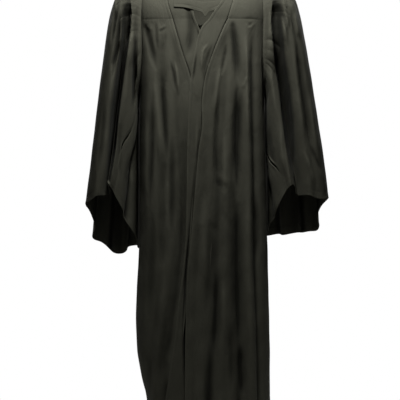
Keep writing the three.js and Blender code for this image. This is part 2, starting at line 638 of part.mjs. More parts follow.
const SLEEVE_ROWS = [0, 0.04, 0.09, 0.15, 0.23, 0.34, 0.46, 0.55, 0.64, 0.73, 0.82, 0.91, 1];
function sleevePart(sleeve, upper, material) {
  const wearers = sleeve.side > 0 ? "left" : "right";
  const name = (upper ? "sleeve_upper_" : "sleeve_under_") + wearers;
  const point = makeSleevePoint(sleeve);
  const columns = upper ? 46 : 16;
  const rows = SLEEVE_ROWS.length - 1;
  const trim = degrees(SLEEVE_SEAM_GAP / 2 / 90);
  const { from, to, open } = sleeve.slit;
  const seam = seamLine(sleeve);
  const underarm = upper ? UNDERARM_SEAM_DEG - 360 + trim : UNDERARM_SEAM_DEG - trim;
  return wall(name, material, columns, rows, (across, share) => {
    const row = clamp(Math.floor(share * rows), 0, rows - 1);
    const down = SLEEVE_ROWS[row] + (SLEEVE_ROWS[row + 1] - SLEEVE_ROWS[row]) * (share * rows - row);
    const inSlit = clamp((down - from) / (to - from), 0, 1);
    const apart = trim + degrees((open / 2 / 110) * Math.sin(Math.PI * inSlit) ** 0.7);
    const along = (sleeve.side > 0) === upper ? across : 1 - across;
    return point(seam + (underarm - seam) * along, down, upper ? -apart : apart);
  });
}

function strap(material) {
  return wall("neck_strap", material, 20, 3, (across, down) => {
    const line = (column) => read(STRAP_LINE, "across", column, across);
    const x = line("x");
    const lower = line("lower") - TAB.drop * bump(x - TAB.x, TAB.half);
    const z = line("upper") + (lower - line("upper")) * down;
    const up = degrees(Math.asin((z - YOKE_SEAM_Z) / (shoulderZ(x) - YOKE_SEAM_Z)));
    return yokePoint(x, up, line("proud"));
  });
}

function cloth(color) {
  return new THREE.MeshStandardMaterial({ color, roughness: 0.85, metalness: 0, side: THREE.DoubleSide });
}

const gown = new THREE.Group();
gown.name = "graduation_gown";
const gownCloth = cloth(0x2b2b27);
const facingCloth = cloth(0x2f2f2b);
gown.add(backYoke(gownCloth));
gown.add(back(gownCloth));
for (const [side, folds] of [[1, LEFT_FRONT_FOLDS], [-1, RIGHT_FRONT_FOLDS]]) {
  gown.add(frontYoke(side, gownCloth));
  gown.add(front(side, folds, gownCloth));
  gown.add(facing(side, folds, facingCloth));
}
for (const sleeve of [LEFT_SLEEVE, RIGHT_SLEEVE]) {
  gown.add(sleevePart(sleeve, true, gownCloth));
  gown.add(sleevePart(sleeve, false, gownCloth));
}
gown.add(strap(facingCloth));

export default gown;
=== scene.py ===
import math

import bpy
import numpy as np
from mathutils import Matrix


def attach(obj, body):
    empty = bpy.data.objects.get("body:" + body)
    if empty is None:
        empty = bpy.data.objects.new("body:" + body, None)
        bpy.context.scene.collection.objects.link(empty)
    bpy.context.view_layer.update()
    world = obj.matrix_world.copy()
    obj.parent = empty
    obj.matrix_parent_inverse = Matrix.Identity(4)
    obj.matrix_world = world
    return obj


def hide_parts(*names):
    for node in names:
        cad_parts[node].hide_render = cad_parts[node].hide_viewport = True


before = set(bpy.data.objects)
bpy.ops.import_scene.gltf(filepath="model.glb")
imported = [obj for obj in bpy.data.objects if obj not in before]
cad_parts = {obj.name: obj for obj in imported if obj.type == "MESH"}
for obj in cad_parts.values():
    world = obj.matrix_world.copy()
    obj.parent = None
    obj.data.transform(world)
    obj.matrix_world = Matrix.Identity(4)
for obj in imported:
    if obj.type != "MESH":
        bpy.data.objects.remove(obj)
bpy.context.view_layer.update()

bl_info = {
    "name": "Graduation Gown",
    "version": (1, 0, 0),
    "blender": (4, 5, 0),
    "location": "3D View > Sidebar > Gown",
    "description": "Builds a hanging black graduation gown, piece by piece, with its stage",
    "category": "Object",
}

# All tables are in millimetres and degrees. Wearer's left is +X, the front faces -Y.


def numbers(text):
    """Rows of numbers from the lines of a text."""
    return [[float(word) for word in line.split()] for line in text.strip().splitlines()]


def named_numbers(text):
    """The names in a text's first line, and the rows of numbers below it."""
    names, rows = text.strip().split("\n", 1)
    return names.split(), numbers(rows)


def table(text):
    """Columns by name, sorted by the first one."""
    names, rows = named_numbers(text)
    return dict(zip(names, np.array(sorted(rows)).T))


def rows_of(text):
    """Rows by name, in the order given."""
    names, rows = named_numbers(text)
    return [dict(zip(names, row)) for row in rows]


# The form of the body, the yoke, the facings and the sleeves
SEAM_GAP = 0.4
ARMHOLE_CLEAR = 0.6
ARMPIT_CLEAR_FROM = -290
LAYER_BELOW = 2.6
YOKE_SEAM_Z = -125
ARMPIT_Z = -335
HEM_Z = -1300
DEPTH_CENTRE_Y = -20
ROUNDNESS = 0.83
SHOULDER_TIP_X = 184
SHOULDER_TIP_Z = -45
SHOULDER_SLOPE = 0.34
SHOULDER_Y = 8
NECK_RISE = 14
NECK_RISE_HALF = 60
NECK_SIDE_X = 92
NECK_BACK_DEG = 38
FACING_UNDER_PLEAT = 16
FACING_HIDDEN_DEEPER = 1.6
PLEAT_GROOVE = 4.5
RIGHT_FRONT_BELOW = 6.5
RIGHT_FRONT_BELOW_OVER = 62
FOLD_TOP_Z = -240
FOLD_MIDDLE_Z = -760
PLEAT_STANDS = 6
PLEAT_HALF = 16
BACK_FLUTES = 9
UNDERARM_SEAM_DEG = 200
SLEEVE_HEAD_BLEND = 0.14
HEM_RISE_POWER = 2.4
SLEEVE_FOLD_GROWTH = 0.55
SLEEVE_FOLD_DRIFT = 2.5
SEAM_LINE_SPREAD = 20
SLEEVE_SEAM_GAP = 0.8
GATHERS = 15
GATHER_PUSH = 6
GATHER_FROM = 0.02
GATHER_TO = 0.34
FINE_GATHERS = 19.5
FINE_GATHER_PUSH = 2.6
SLEEVE_CLEAR = 7
SLEEVE_CLEAR_SOFTNESS = 6
FACING_NECK_SHARE = 0.1
# How far out a seam lies, to turn its gap into an angle
BODY_RADIUS = 186
ARM_RADIUS = 110
FOREARM_RADIUS = 90
# Small gathers of the back at the yoke seam
BACK_GATHERS = 38
BACK_GATHER_PUSH = 1.7
BACK_GATHER_FROM = 25
BACK_GATHER_TO = 175
# How creases, seams and turned edges shape the cloth
EDGE_FADE = 9
CREASE_EASE = 28
SLEEVE_CREASE_EASE = 64
DEEP_PUSH = -15
DEEP_START = 0.12
CREASE_END = 0.36
CREASE_TIP = 4
FACING_SOFTENED = 14
SEAM_DIP_HALF = 2.6
PRESSED_DEPTH = 0.45
PRESSED_HALF = 1.6
FOLD_GAP = 1.9
ALLOWANCE_DEPTH = 5
HEM_ROWS = 9
HEM_ROW_STEP = 3.2
SMOOTH_BELOW_DEG = 62
# How wear on edges is masked, and how painted shade in folds and a painted highlight on ridges are
# masked
WORN_HALF = 2.4
HOLLOW_SOFTENED = 36
HOLLOW_DEPTH = 4.5
CREASE_PAINTED_SHADE_DEPTH = 12
RIDGE_PAINTED_HIGHLIGHT = -0.3
# The cloth's noises: how they are stretched on their coordinates, in repeats for each metre, and
# their shares in its shade, roughness and relief
SLUBS = (700, 34, 1)
MOTTLES = (14, 14, 14)
CRUMPLES = (34, 34, 12)
PLAIN_SHADE = 0.84
SLUB_SHADE = 0.14
WEAVE_SHADE = 0.12
PLAIN_ROUGHNESS = 0.7
MOTTLE_ROUGHNESS = 0.16
SLUB_HEIGHT = 0.5

BODY = table("""
z middle_x half front back
-1300 12 186 115 162
-1200 3 195 113 159
-1130 -4 202 112 157
-1010 -7 203 110 154
-780 -5 195 104 146
-520 -8 191 98 138
-335 -8 189 92 132
-205 -8 189 80 122
-125 -8 189 68 106
""")
ARMHOLE = table("""
z front back
-335 96 84
-322 90 80
-295 83 73
-250 77 66
-205 75 61
-165 76 61
-125 78 64
""")
FRONT_LINES = table("""
z left_free left_pleat right_free right_pleat
-1300 -124 -58 -40 -100
-1180 -105 -58 -18 -80
-1092 -91 -57 -4 -68
-972 -78 -54 8 -56
-882 -66 -51 14 -50
-792 -58 -41 20 -44
-672 -55 -31 24 -38
-522 -53 -18 26 -34
-455 -51 -8 26 -32
-378 -48 -8 24 -34
-301 -42 3 16 -46
-225 -30 27 4 -70
-156 -12 55 -18 -90
-125 14 70 -31 -99
""")
NECK_LINES = table("""
up left_free left_pleat right_free right_pleat
0 14 70 -31 -99
25 50 84 -46 -113
55 74 98 -74 -118
90 86 108 -98 -120
""")
BACK_FLUTE_PUSH = table("""
z push
-1300 19
-900 16
-500 11
-250 6
-160 3.5
-125 0
""")
FRONT_FOLDS = {
    "left": rows_of("""
top middle hem half top_push middle_push hem_push
66 36 8 17 -7 -9 -9
79 60 44 15 2 4 6
93 95 106 18 -8 -16 -18
122 130 140 17 7 13 14
146 153 166 11 -6 -12 -13
"""),
    "right": rows_of("""
top middle hem half top_push middle_push hem_push
-92 -77 -128 16 -3 -13 -16
-112 -104 -150 17 3 6 8
-140 -134 -172 18 -5 -4 -5
-168 -166 -190 16 5 6 4
"""),
}
SLEEVES = {
    "left": {
        "side": 1,
        "sections": table("""
down out_x out_z in_x in_z in_y fore aft
0 176 -45 178 -335 0 62 62
0.05 226 -24 186 -352 12 84 82
0.1 259 -34 183 -372 26 94 92
0.16 280 -66 179 -396 40 100 98
0.24 297 -126 175 -428 50 106 104
0.36 318 -238 174 -482 56 110 110
0.5 336 -352 178 -548 58 113 114
0.66 353 -466 178 -622 60 116 118
0.82 369 -568 180 -694 60 118 122
1 380 -667 182 -765 60 120 126
"""),
        "folds": rows_of("""
head hem half push lean start
30 30 17 5 0 0.1
60 56 10 -9 0 0
118 87 14 -66 5 -0.06
140 105 12 12 -10 -0.04
165 162 11 -20 0 0.1
236 232 15 -34 0 -0.02
262 262 12 10 0 0
292 294 14 -36 0 -0.02
322 322 12 -6 0 0.08
345 342 10 -26 0 0.2
"""),
        "hem": table("""
around rise
0 0
40 10
72 48
88 64
97 84
105 100
116 80
134 42
160 12
180 -8
215 -30
270 -62
300 -74
322 -86
336 -60
348 -14
360 0
"""),
        "seam": table("""
down around
0 158
0.35 159
0.5 156
0.6 142
0.72 124
0.85 115
1 111
"""),
        "slit": (0.46, 0.76, 9),
        "under_columns": 56,
    },
    "right": {
        "side": -1,
        "sections": table("""
down out_x out_z in_x in_z in_y fore aft
0 192 -45 194 -335 0 62 62
0.05 234 -24 201 -352 12 84 82
0.1 263 -34 198 -372 26 92 90
0.16 281 -68 195 -396 40 98 96
0.24 296 -124 191 -430 50 102 102
0.36 311 -236 190 -486 56 106 108
0.5 327 -356 194 -556 58 109 112
0.66 340 -473 196 -634 60 112 116
0.82 353 -582 198 -710 60 114 120
1 366 -690 201 -785 60 116 124
"""),
        "folds": rows_of("""
head hem half push lean start
20 24 16 5 0 0.1
66 74 11 -60 6 -0.06
88 90 11 12 -10 -0.04
146 148 12 -38 0 -0.02
174 176 9 5 0 0.1
230 228 15 -30 0 -0.02
257 257 12 10 0 0
286 285 14 -36 0 -0.02
316 318 12 4 0 0.08
341 341 9 -22 0 0.2
"""),
        "hem": table("""
around rise
0 0
34 22
62 62
76 86
88 114
99 86
118 56
134 36
158 -6
180 -36
200 -30
240 -72
270 -104
300 -92
325 -92
340 -52
350 -10
360 0
"""),
        "seam": table("""
down around
0 134
0.3 132
0.44 121
0.6 103
0.8 98
1 96
"""),
        "slit": (0.42, 0.66, 6),
        "under_columns": 62,
    },
}
STRAP_LINE = table("""
across x upper lower proud
0 -94 -52 -88 -0.2
0.3 -56 -58 -92 0.05
0.58 -6 -64 -105 -1.5
0.78 22 -60 -100 -5.15
1 58 -50 -80 -6.1
""")
TAB_X = 1
TAB_HALF = 7
TAB_DROP = 14
STRAP_TURN = 9
YOKE_STITCHES_AT = 4
FACING_STITCHES_AT = 7

# The sides of the gown: which way they lie, their name, and their inner and outer edge on a grid
SIDES = ((1, "left", "left", "right"), (-1, "right", "right", "left"))


def creases(*texts):
    """Creases from rows of numbers: the half width on the left and on the right side, how far the
    crease stands out (+) or sinks in (-), and then x and z of each point that it runs through."""
    rows = [row for text in texts for row in numbers(text)]
    return [(*row[:3], np.array(row[3:]).reshape(-1, 2)) for row in rows]


FRONT_CREASES = creases(
    # Wearer's right sleeve: the deep valleys from the head, and the ridges between them
    """
13.2 8.4 -38 -232 -42 -234 -114 -240 -192 -249 -252 -261 -342 -272 -432 -279 -522 -294 \
-627 -303 -690
6.6 6.6 -24 -204 -66 -207 -132 -209 -192 -212 -252 -216 -342 -220 -420
5.4 6 -14 -256 -72 -260 -132 -264 -180 -273 -252 -282 -324
5.4 5.4 -9 -274 -72 -276 -144 -286 -204
7.8 7.2 6 -219 -72 -224 -192 -231 -252 -238 -342 -249 -426
7.8 7.2 4 -249 -90 -256 -162 -268 -240 -285 -348 -297 -462
4.8 7.2 -5 -252 -408 -260 -522 -252 -636
7.2 9 4 -266 -456 -273 -552 -279 -660
6 4.8 -8 -253 -182 -267 -228 -288 -279
6.6 10.2 -4 -303 -360 -312 -462 -327 -600
7.8 7.8 3.5 -291 -402 -300 -522 -315 -642
4.5 4.5 -4 -231 -522 -238 -600 -234 -672
4.8 4.8 3.5 -222 -492 -225 -582 -224 -660
5.1 5.1 -5 -284 -48 -285 -90 -294 -150
5.1 5.1 -6 -266 -48 -266 -90 -273 -150
5.1 5.1 -7 -247 -42 -248 -96 -252 -174
4.8 4.8 -6 -217 -42 -217 -90 -216 -162
4.5 4.5 2.5 -240 -42 -240 -90 -245 -162
4.5 4.5 2 -209 -42 -210 -96 -209 -162
4.5 4.5 2.5 -274 -48 -274 -84 -282 -144
""",
    # Wearer's left sleeve
    """
6 6.6 -24 186 -66 184 -126 182 -192 180 -252 181 -342 177 -444
8.4 19.2 -40 214 -42 211 -132 216 -192 222 -252 236 -342 246 -432 256 -522 270 -636
7.8 7.8 6 195 -72 194 -192 196 -252 207 -342 218 -438
10.2 10.2 5 265 -114 270 -222 279 -312 291 -417 303 -528
7.2 11.4 -10 272 -144 288 -282 306 -414 330 -570
5.4 5.4 -5 231 -78 240 -114 258 -192
5.4 5.4 4 228 -90 237 -138 250 -210
5.4 5.4 -5 258 -72 265 -126 276 -204
4.5 4.5 4 273 -90 279 -132 286 -180
5.4 5.4 -2.4 270 -172 280 -178 292 -189
5.4 5.4 -2.2 274 -246 285 -255 298 -266
5.4 6 -5 315 -501 333 -543 360 -600
6 6.6 4.5 297 -522 318 -576 336 -642
6 6.6 -6 196 -438 200 -522 216 -606
6 6 4 228 -432 231 -522 237 -612
7.8 9 3.5 315 -324 330 -432 345 -552
4.8 4.8 -5 197 -42 195 -90 194 -150
5.1 5.1 -6 230 -42 233 -90 243 -162
5.1 5.1 -6 246 -48 252 -102 261 -168
4.5 4.5 2.5 220 -42 222 -90 228 -156
4.5 4.5 2.5 238 -48 244 -96 254 -156
""",
    # Wearer's right front. Its first row sinks the cloth beside the left front's free edge, and
    # through the fold mask it also paints that edge's shadow there.
    """
15.3 8.1 -5.6 -51 -360 -61 -522 -64 -672 -68 -792 -78 -960
9 10.2 -8 -190 -114 -177 -162 -162 -222 -147 -288
4.8 6 -2.4 -150 -120 -149 -162 -146 -228
6 6.6 1.8 -139 -120 -140 -162 -137 -222
4.8 4.8 -1.5 -142 -167 -129 -161 -114 -151
4.5 4.5 1.3 -141 -158 -128 -152 -116 -143
4.8 4.8 -1.4 -177 -135 -166 -129 -156 -147
4.8 4.8 1.2 -180 -144 -170 -150 -159 -162
6 6 -2.2 -117 -162 -123 -198 -134 -237
6.3 5.7 -2 -115 -264 -124 -330 -131 -396
8.4 10.2 -8 -134 -270 -128 -390 -114 -570
8.4 9 4 -154 -252 -150 -342 -140 -462 -135 -582
10.2 7.8 -9 -162 -342 -162 -522 -170 -720
7.8 10.2 4 -183 -372 -184 -522 -184 -714
9.6 9.6 -9 -100 -462 -98 -642 -99 -822
11.7 11.7 4 -117 -552 -122 -702 -126 -858
15.3 13.5 -7.2 -160 -672 -162 -858 -171 -1062
14.4 14.4 4.5 -132 -780 -134 -942 -136 -1062
13.5 13.5 -4 -117 -1008 -126 -1122 -138 -1242
9.9 9.9 4 -102 -1092 -110 -1182 -112 -1260
4.5 4.5 -4 -105 -252 -96 -294 -88 -348
4.5 4.5 3.5 -93 -246 -84 -300 -78 -366
""",
    # Wearer's left front
    """
8.4 10.2 -11 80 -108 86 -174 94 -252 96 -336
8.4 9.6 -13 96 -300 95 -402 94 -522 99 -672
4.8 4.8 -1.4 118 -130 129 -134 146 -150
4.8 4.8 -1.6 124 -153 140 -138 156 -124
4.8 4.8 1.3 134 -156 144 -143 158 -134
4.8 4.8 1.1 116 -140 124 -144 138 -159
8.4 8.4 6 120 -144 128 -252 129 -372 132 -522
5.4 5.4 1.8 110 -342 120 -318 130 -298
7.2 7.8 -5 110 -324 105 -408 105 -540
6 6 -4 66 -198 59 -246 45 -306
6 6 4 51 -252 36 -342 27 -432
7.2 9 -7 45 -324 32 -492 33 -672
7.2 7.2 3.5 54 -426 58 -552 56 -690
6.6 6.6 -1.8 24 -606 51 -630 81 -648
6.6 6.6 1.5 30 -582 57 -612 84 -627
10.3 10.3 -1.4 36 -696 63 -729 87 -765
9.9 9.9 -1.2 3 -738 24 -753 48 -759
12.6 13.5 -8.8 99 -642 96 -792 96 -972 102 -1128
13.5 13.5 5 129 -552 129 -732 132 -972 141 -1188
11.7 11.7 -7.2 147 -642 156 -762 153 -882
12.6 14.4 -6.4 18 -714 14 -882 0 -1044
11.7 11.7 4 0 -630 -3 -780 6 -948
11.7 12.6 -7.2 36 -858 33 -990 28 -1170
10.8 10.8 3.5 51 -900 56 -990 60 -1092
9.9 9.9 -6.4 78 -1026 78 -1122 81 -1254
10.8 12.6 -7.2 105 -1092 108 -1182 114 -1266
""",
    # Facings. The fifth row sinks the right facing under the neck strap, and through the fold mask
    # it also paints the strap's shadow there.
    """
4.8 5.4 -4 -24 -102 -20 -162 -22 -222
6.6 9 -5 27 -198 12 -237 2 -282 -1 -348
4.8 4.8 4 15 -198 -6 -228 -10 -294
4.8 5.4 -6 0 -348 -6 -408 -13 -462 -22 -528 -35 -672 -45 -780 -54 -882 -58 -972 -61 -1092 -62 -1266
9 13.8 -7 -60 -72 -50 -114 -44 -168 -54 -258
6 5.1 -13 -42 -738 -53 -867 -56 -972 -59 -1092 -61 -1266
3.6 3.6 -4 -26 -228 -30 -270 -36 -324
4.8 4.8 3.5 -22 -402 -26 -522 -27 -672
""",
)
BACK_CREASES = creases(
    """
5 7 -8 -150 -150 -146 -220 -132 -320
7 5 6 -112 -150 -108 -240 -100 -340
8 6 -7 -60 -140 -68 -240 -74 -350
7 8 5 -20 -160 -16 -280 -22 -400
6 9 -8 26 -150 22 -260 20 -400
7 7 5 62 -170 66 -280 70 -420
5 7 -8 98 -140 104 -220 114 -310
4 4 5 140 -160 146 -240 150 -330
9 11 -7 -122 -400 -104 -540 -98 -700
10 9 6 -60 -420 -52 -600 -58 -760
10 12 -7 -18 -500 -26 -660 -36 -840
9 9 6 24 -460 34 -620 30 -800
8 10 -7 70 -450 82 -580 88 -720
9 8 5 128 -420 126 -560 134 -700
10 10 -7 -150 -780 -156 -960 -162 -1150
11 10 6 -104 -800 -98 -980 -104 -1200
10 12 -8 -66 -880 -56 -1040 -50 -1220
10 10 5 -10 -920 -6 -1080 -12 -1230
12 10 -7 34 -860 40 -1020 46 -1190
10 10 6 80 -820 76 -1000 84 -1180
9 11 -7 112 -900 104 -1060 100 -1230
8 8 5 150 -760 148 -900 152 -1080
6 10 -13 -238 -60 -246 -180 -262 -340 -274 -520 -286 -700
8 6 6 -262 -90 -274 -220 -290 -380
6 6 -10 -210 -70 -214 -180 -222 -320
7 8 -7 -296 -230 -306 -360 -318 -520
8 8 5 -310 -420 -300 -560 -296 -700
4 4 -7 -226 -60 -228 -110 -232 -160
4 4 5 -218 -60 -220 -110 -224 -150
10 6 -13 224 -60 234 -180 250 -340 262 -520 270 -680
6 8 6 248 -90 264 -220 284 -400
6 6 -10 196 -70 202 -190 212 -330
8 7 -7 292 -240 304 -380 322 -540
8 8 5 300 -430 320 -560 340 -660
4 4 -7 210 -60 212 -110 218 -160
4 4 5 203 -60 206 -110 210 -150
""",
)

# Points and normals of the pieces that have been made, by name, for the stitching.
MADE = {}


def smooth(value):
    """From 0 to 1, with soft ends."""
    t = np.clip(value, 0.0, 1.0)
    return t * t * (3 - 2 * t)


def bump(distance, half):
    """1 in the middle, fading to nothing on both sides."""
    return np.exp(-((distance / half) ** 2))


def signed_power(value, power):
    return np.sign(value) * np.abs(value) ** power


def unit(vectors):
    length = np.linalg.norm(vectors, axis=-1, keepdims=True)
    return vectors / np.maximum(length, 1e-9)


def read(rows, column, at):
    """A column at a place between its rows, on a smooth curve through them."""
    key = next(iter(rows.values()))
    value = rows[column]
    last = len(key) - 1
    place = np.clip(at, key[0], key[-1])
    k = np.clip(np.searchsorted(key, place, side="left") - 1, 0, last - 1)
    before = np.maximum(np.arange(last + 1) - 1, 0)
    after = np.minimum(np.arange(last + 1) + 1, last)
    slope = (value[after] - value[before]) / (key[after] - key[before])
    step = key[k + 1] - key[k]
    t = (place - key[k]) / step
    h00 = 2 * t**3 - 3 * t**2 + 1
    h10 = t**3 - 2 * t**2 + t
    start = h00 * value[k] + h10 * step * slope[k]
    return start + (1 - h00) * value[k + 1] + (t**3 - t**2) * step * slope[k + 1]


def body_base(angle, z):
    """A place on the body's plain form: its angle runs from the front, 0, to the wearer's left."""
    s = np.sin(np.radians(angle))
    c = np.cos(np.radians(angle))
    depth = np.where(c > 0, read(BODY, "front", z), read(BODY, "back", z))
    x = read(BODY, "middle_x", z) + read(BODY, "half", z) * signed_power(s, ROUNDNESS)
    return x, DEPTH_CENTRE_Y - depth * signed_power(c, ROUNDNESS)


def front_angle(x, z):
    """The angle at which the front of the body's form is at x."""
    across = (x - read(BODY, "middle_x", z)) / read(BODY, "half", z)
    return np.degrees(np.arcsin(np.clip(signed_power(across, 1 / ROUNDNESS), -1, 1)))


def body_point(angle, z, push):
    """A point on the body's form, pushed out level from it."""
    x, y = body_base(angle, z)
    before_x, before_y = body_base(angle - 0.5, z)
    after_x, after_y = body_base(angle + 0.5, z)
    out = unit(np.stack([after_y - before_y, before_x - after_x], -1))
    return np.stack([x + out[..., 0] * push, y + out[..., 1] * push, z + 0 * x], -1)


def front_push(folds, x, z):
    """How far the folds of a front stand out at a place."""
    fade_in = smooth((YOKE_SEAM_Z - z) / (YOKE_SEAM_Z - FOLD_TOP_Z))
    upper = smooth((z - FOLD_MIDDLE_Z) / (FOLD_TOP_Z - FOLD_MIDDLE_Z))
    lower = smooth((FOLD_MIDDLE_Z - z) / (FOLD_MIDDLE_Z - HEM_Z))
    total = 0 * x
    for fold in folds:
        place, push = (
            fold["middle" + kind]
            + (fold["top" + kind] - fold["middle" + kind]) * upper
            + (fold["hem" + kind] - fold["middle" + kind]) * lower
            for kind in ("", "_push")
        )
        total = total + push * bump(x - place, fold["half"])
    return total * fade_in


def shoulder_z(x):
    """The height of the shoulder line, which rises to the neck."""
    from_middle = np.abs(x - read(BODY, "middle_x", YOKE_SEAM_Z))
    rise = NECK_RISE * bump(from_middle, NECK_RISE_HALF)
    return SHOULDER_TIP_Z + (SHOULDER_TIP_X - from_middle) * SHOULDER_SLOPE + rise


def yoke_reach(up):
    """How far the yoke reaches at its lower seam, and at an angle up over the shoulder."""
    angle = np.where(up < 90, ARMHOLE["front"][-1], 180 - ARMHOLE["back"][-1])
    seam = body_base(angle, YOKE_SEAM_Z)[0] - read(BODY, "middle_x", YOKE_SEAM_Z)
    return seam, seam + (SHOULDER_TIP_X - seam) * np.sin(np.radians(up))


def yoke_armhole_x(side, up):
    return read(BODY, "middle_x", YOKE_SEAM_Z) + side * yoke_reach(up)[1]


def yoke_point(x, up, push=0.0):
    """A point on the yoke: up is 0 at the front seam, 90 on the shoulder and 180 at the back."""
    middle_x = read(BODY, "middle_x", YOKE_SEAM_Z)
    seam, here = yoke_reach(up)
    angle = front_angle(middle_x + (x - middle_x) * seam / here, YOKE_SEAM_Z)
    foot_y = body_base(np.where(up < 90, angle, 180 - angle), YOKE_SEAM_Z)[1]
    s = np.sin(np.radians(up))
    c = np.abs(np.cos(np.radians(up)))
    y = SHOULDER_Y + (foot_y - SHOULDER_Y) * c
    z = YOKE_SEAM_Z + (shoulder_z(x) - YOKE_SEAM_Z) * s
    away = unit(np.stack([np.sign(foot_y - SHOULDER_Y) * c, s], -1))
    return np.stack([x + 0 * y, y + away[..., 0] * push, z + away[..., 1] * push], -1)


def armhole_angle(side, z, which):
    edge = read(ARMHOLE, which, z)
    return side * (edge if which == "front" else 180 - edge)


def covered(x, z):
    """How far the left front covers a place of the right one, from 0 to 1."""
    start = read(FRONT_LINES, "left_free", z) - RIGHT_FRONT_BELOW_OVER
    return smooth((x - start) / RIGHT_FRONT_BELOW_OVER)


def panel_z(v, top):
    """The height at a share of the way down: v is already spaced in height."""
    return top + (HEM_Z - top) * v


def side_names(side):
    return ("left_free", "left_pleat") if side > 0 else ("right_free", "right_pleat")


def front_surface(side, folds):
    pleat = side_names(side)[1]

    def surface(u, v):
        z = panel_z(v, YOKE_SEAM_Z - SEAM_GAP / 2)
        pleat_x = read(FRONT_LINES, pleat, z)
        inner = front_angle(pleat_x, z)
        outer = armhole_angle(side, z, "front") - side * np.degrees(SEAM_GAP / 2 / BODY_RADIUS)
        share = u if side > 0 else 1 - u
        angle = inner + (outer - inner) * share
        x = body_base(angle, z)[0]
        cover = 0 * x if side > 0 else covered(x, z)
        stands = PLEAT_STANDS * bump(x - pleat_x, PLEAT_HALF) * smooth((YOKE_SEAM_Z - z) / 60)
        lift = stands * (1 - cover) - RIGHT_FRONT_BELOW * cover
        fade = smooth((1 - share) / 0.12)
        return body_point(angle, z, front_push(folds, x, z) * fade + lift)

    return surface


def facing_surface(side, folds):
    """A facing: over the yoke down to the yoke seam, and then down its front."""
    free, pleat = side_names(side)

    def across(lines, at, share):
        """Places across the facing, and how much deeper it lies where the pleat covers it."""
        start = read(lines, free, at)
        end = read(lines, pleat, at) + side * FACING_UNDER_PLEAT
        covered_by = (share - 1) * np.abs(end - start) + FACING_UNDER_PLEAT
        deeper = FACING_HIDDEN_DEEPER * share**3 + PLEAT_GROOVE * smooth((covered_by + 5) / 6)
        return start + (end - start) * share, deeper

    def surface(u, v):
        share = u if side > 0 else 1 - u
        up = np.clip(90 - 90 * v / FACING_NECK_SHARE, 0, 89.9)
        x, deeper = across(NECK_LINES, up, share)
        upper = yoke_point(x, up, -LAYER_BELOW - deeper)
        down = np.clip((v - FACING_NECK_SHARE) / (1 - FACING_NECK_SHARE), 0, 1)
        z = panel_z(down, YOKE_SEAM_Z)
        x, deeper = across(FRONT_LINES, z, share)
        below = 0 * x if side > 0 else RIGHT_FRONT_BELOW * covered(x, z)
        push = front_push(folds, x, z) - below - LAYER_BELOW - deeper
        lower = body_point(front_angle(x, z), z, push)
        return np.where((v < FACING_NECK_SHARE)[..., None], upper, lower)

    return surface


def part_seams(point, v, way):
    """Keeps a yoke half a seam's gap from its neighbours, at its two seams."""
    point[..., 1] += way * SEAM_GAP / 2 * smooth(1 - v * 3)
    point[..., 2] += SEAM_GAP / 2 * smooth(v * 3 - 2)
    return point


def front_yoke_surface(side):
    pleat = side_names(side)[1]

    def surface(u, v):
        up = np.minimum(90 * (1 - v), 89.9)
        share = u if side > 0 else 1 - u
        start = read(NECK_LINES, pleat, up)
        point = yoke_point(start + (yoke_armhole_x(side, up) - start) * share, up)
        return part_seams(point, v, -1)

    return surface


def back_yoke_surface(u, v):
    to_right = 1 - 2 * u
    side = np.where(to_right >= 0, 1.0, -1.0)
    reach = np.abs(to_right)
    middle_x = read(BODY, "middle_x", YOKE_SEAM_Z)
    neck = np.maximum(0, 1 - (reach * SHOULDER_TIP_X / NECK_SIDE_X) ** 2)
    top_up = 90.1 + NECK_BACK_DEG * np.sqrt(neck)
    up = top_up + (180 - top_up) * v
    x = middle_x + side * reach * np.abs(yoke_reach(up)[1])
    return part_seams(yoke_point(x, up), v, 1)


def back_surface(u, v):
    z = panel_z(v, YOKE_SEAM_Z - SEAM_GAP / 2)
    trim = np.degrees(SEAM_GAP / 2 / BODY_RADIUS)
    left = armhole_angle(1, z, "back") + trim
    right = 360 + armhole_angle(-1, z, "back") - trim
    angle = left + (right - left) * u
    fade = smooth(np.minimum(u, 1 - u) / 0.06)
    wave = np.cos(2 * np.pi * (BACK_FLUTES * u + 0.12 * np.sin(4 * np.pi * u)))
    push = wave * read(BACK_FLUTE_PUSH, "push", z)
    below = YOKE_SEAM_Z - z
    gathers = np.cos(2 * np.pi * (BACK_GATHERS * u + 0.5 * np.sin(2 * np.pi * 3 * u)))
    fading = 1 - smooth((below - BACK_GATHER_FROM) / (BACK_GATHER_TO - BACK_GATHER_FROM))
    push = push + BACK_GATHER_PUSH * gathers * smooth(below / 10) * fading
    return body_point(angle, z, push * fade)


def armhole_line(side):
    """The armhole as a curve, from the shoulder tip by the front to the armpit and the back."""
    clear = np.degrees(ARMHOLE_CLEAR / ARM_RADIUS)
    beyond = side * ARMHOLE_CLEAR
    front_up = np.append(np.array([89.9]), np.arange(87.5, 0, -2.5))
    heights = np.append(np.arange(YOKE_SEAM_Z, ARMPIT_Z, -6.0), ARMPIT_Z)

    def edge(z, which):
        turn = side * clear if which == "front" else -side * clear
        point = body_point(armhole_angle(side, z, which) + turn, z, 0)
        rise = smooth((ARMPIT_CLEAR_FROM - z) / (ARMPIT_CLEAR_FROM - ARMPIT_Z))
        point[..., 2] += ARMHOLE_CLEAR * rise
        return point

    back_up = np.arange(177.5, 90, -2.5)
    first = yoke_point(yoke_armhole_x(side, front_up) + beyond, front_up)
    fore = edge(heights, "front")
    aft = edge(heights[:-1][::-1], "back")
    last = yoke_point(yoke_armhole_x(side, back_up) + beyond, back_up)
    points = np.concatenate([first, fore, aft, last, first[:1]])
    along = np.append(0, np.cumsum(np.linalg.norm(np.diff(points, axis=0), axis=1)))
    armpit = along[len(first) + len(fore) - 1]

    def at(around):
        turn = np.mod(around, 360)
        goal = np.where(
            turn <= 180,
            armpit * turn / 180,
            armpit + (along[-1] - armpit) * (turn - 180) / 180,
        )
        return np.stack([np.interp(goal, along, points[:, i]) for i in range(3)], -1)

    return at


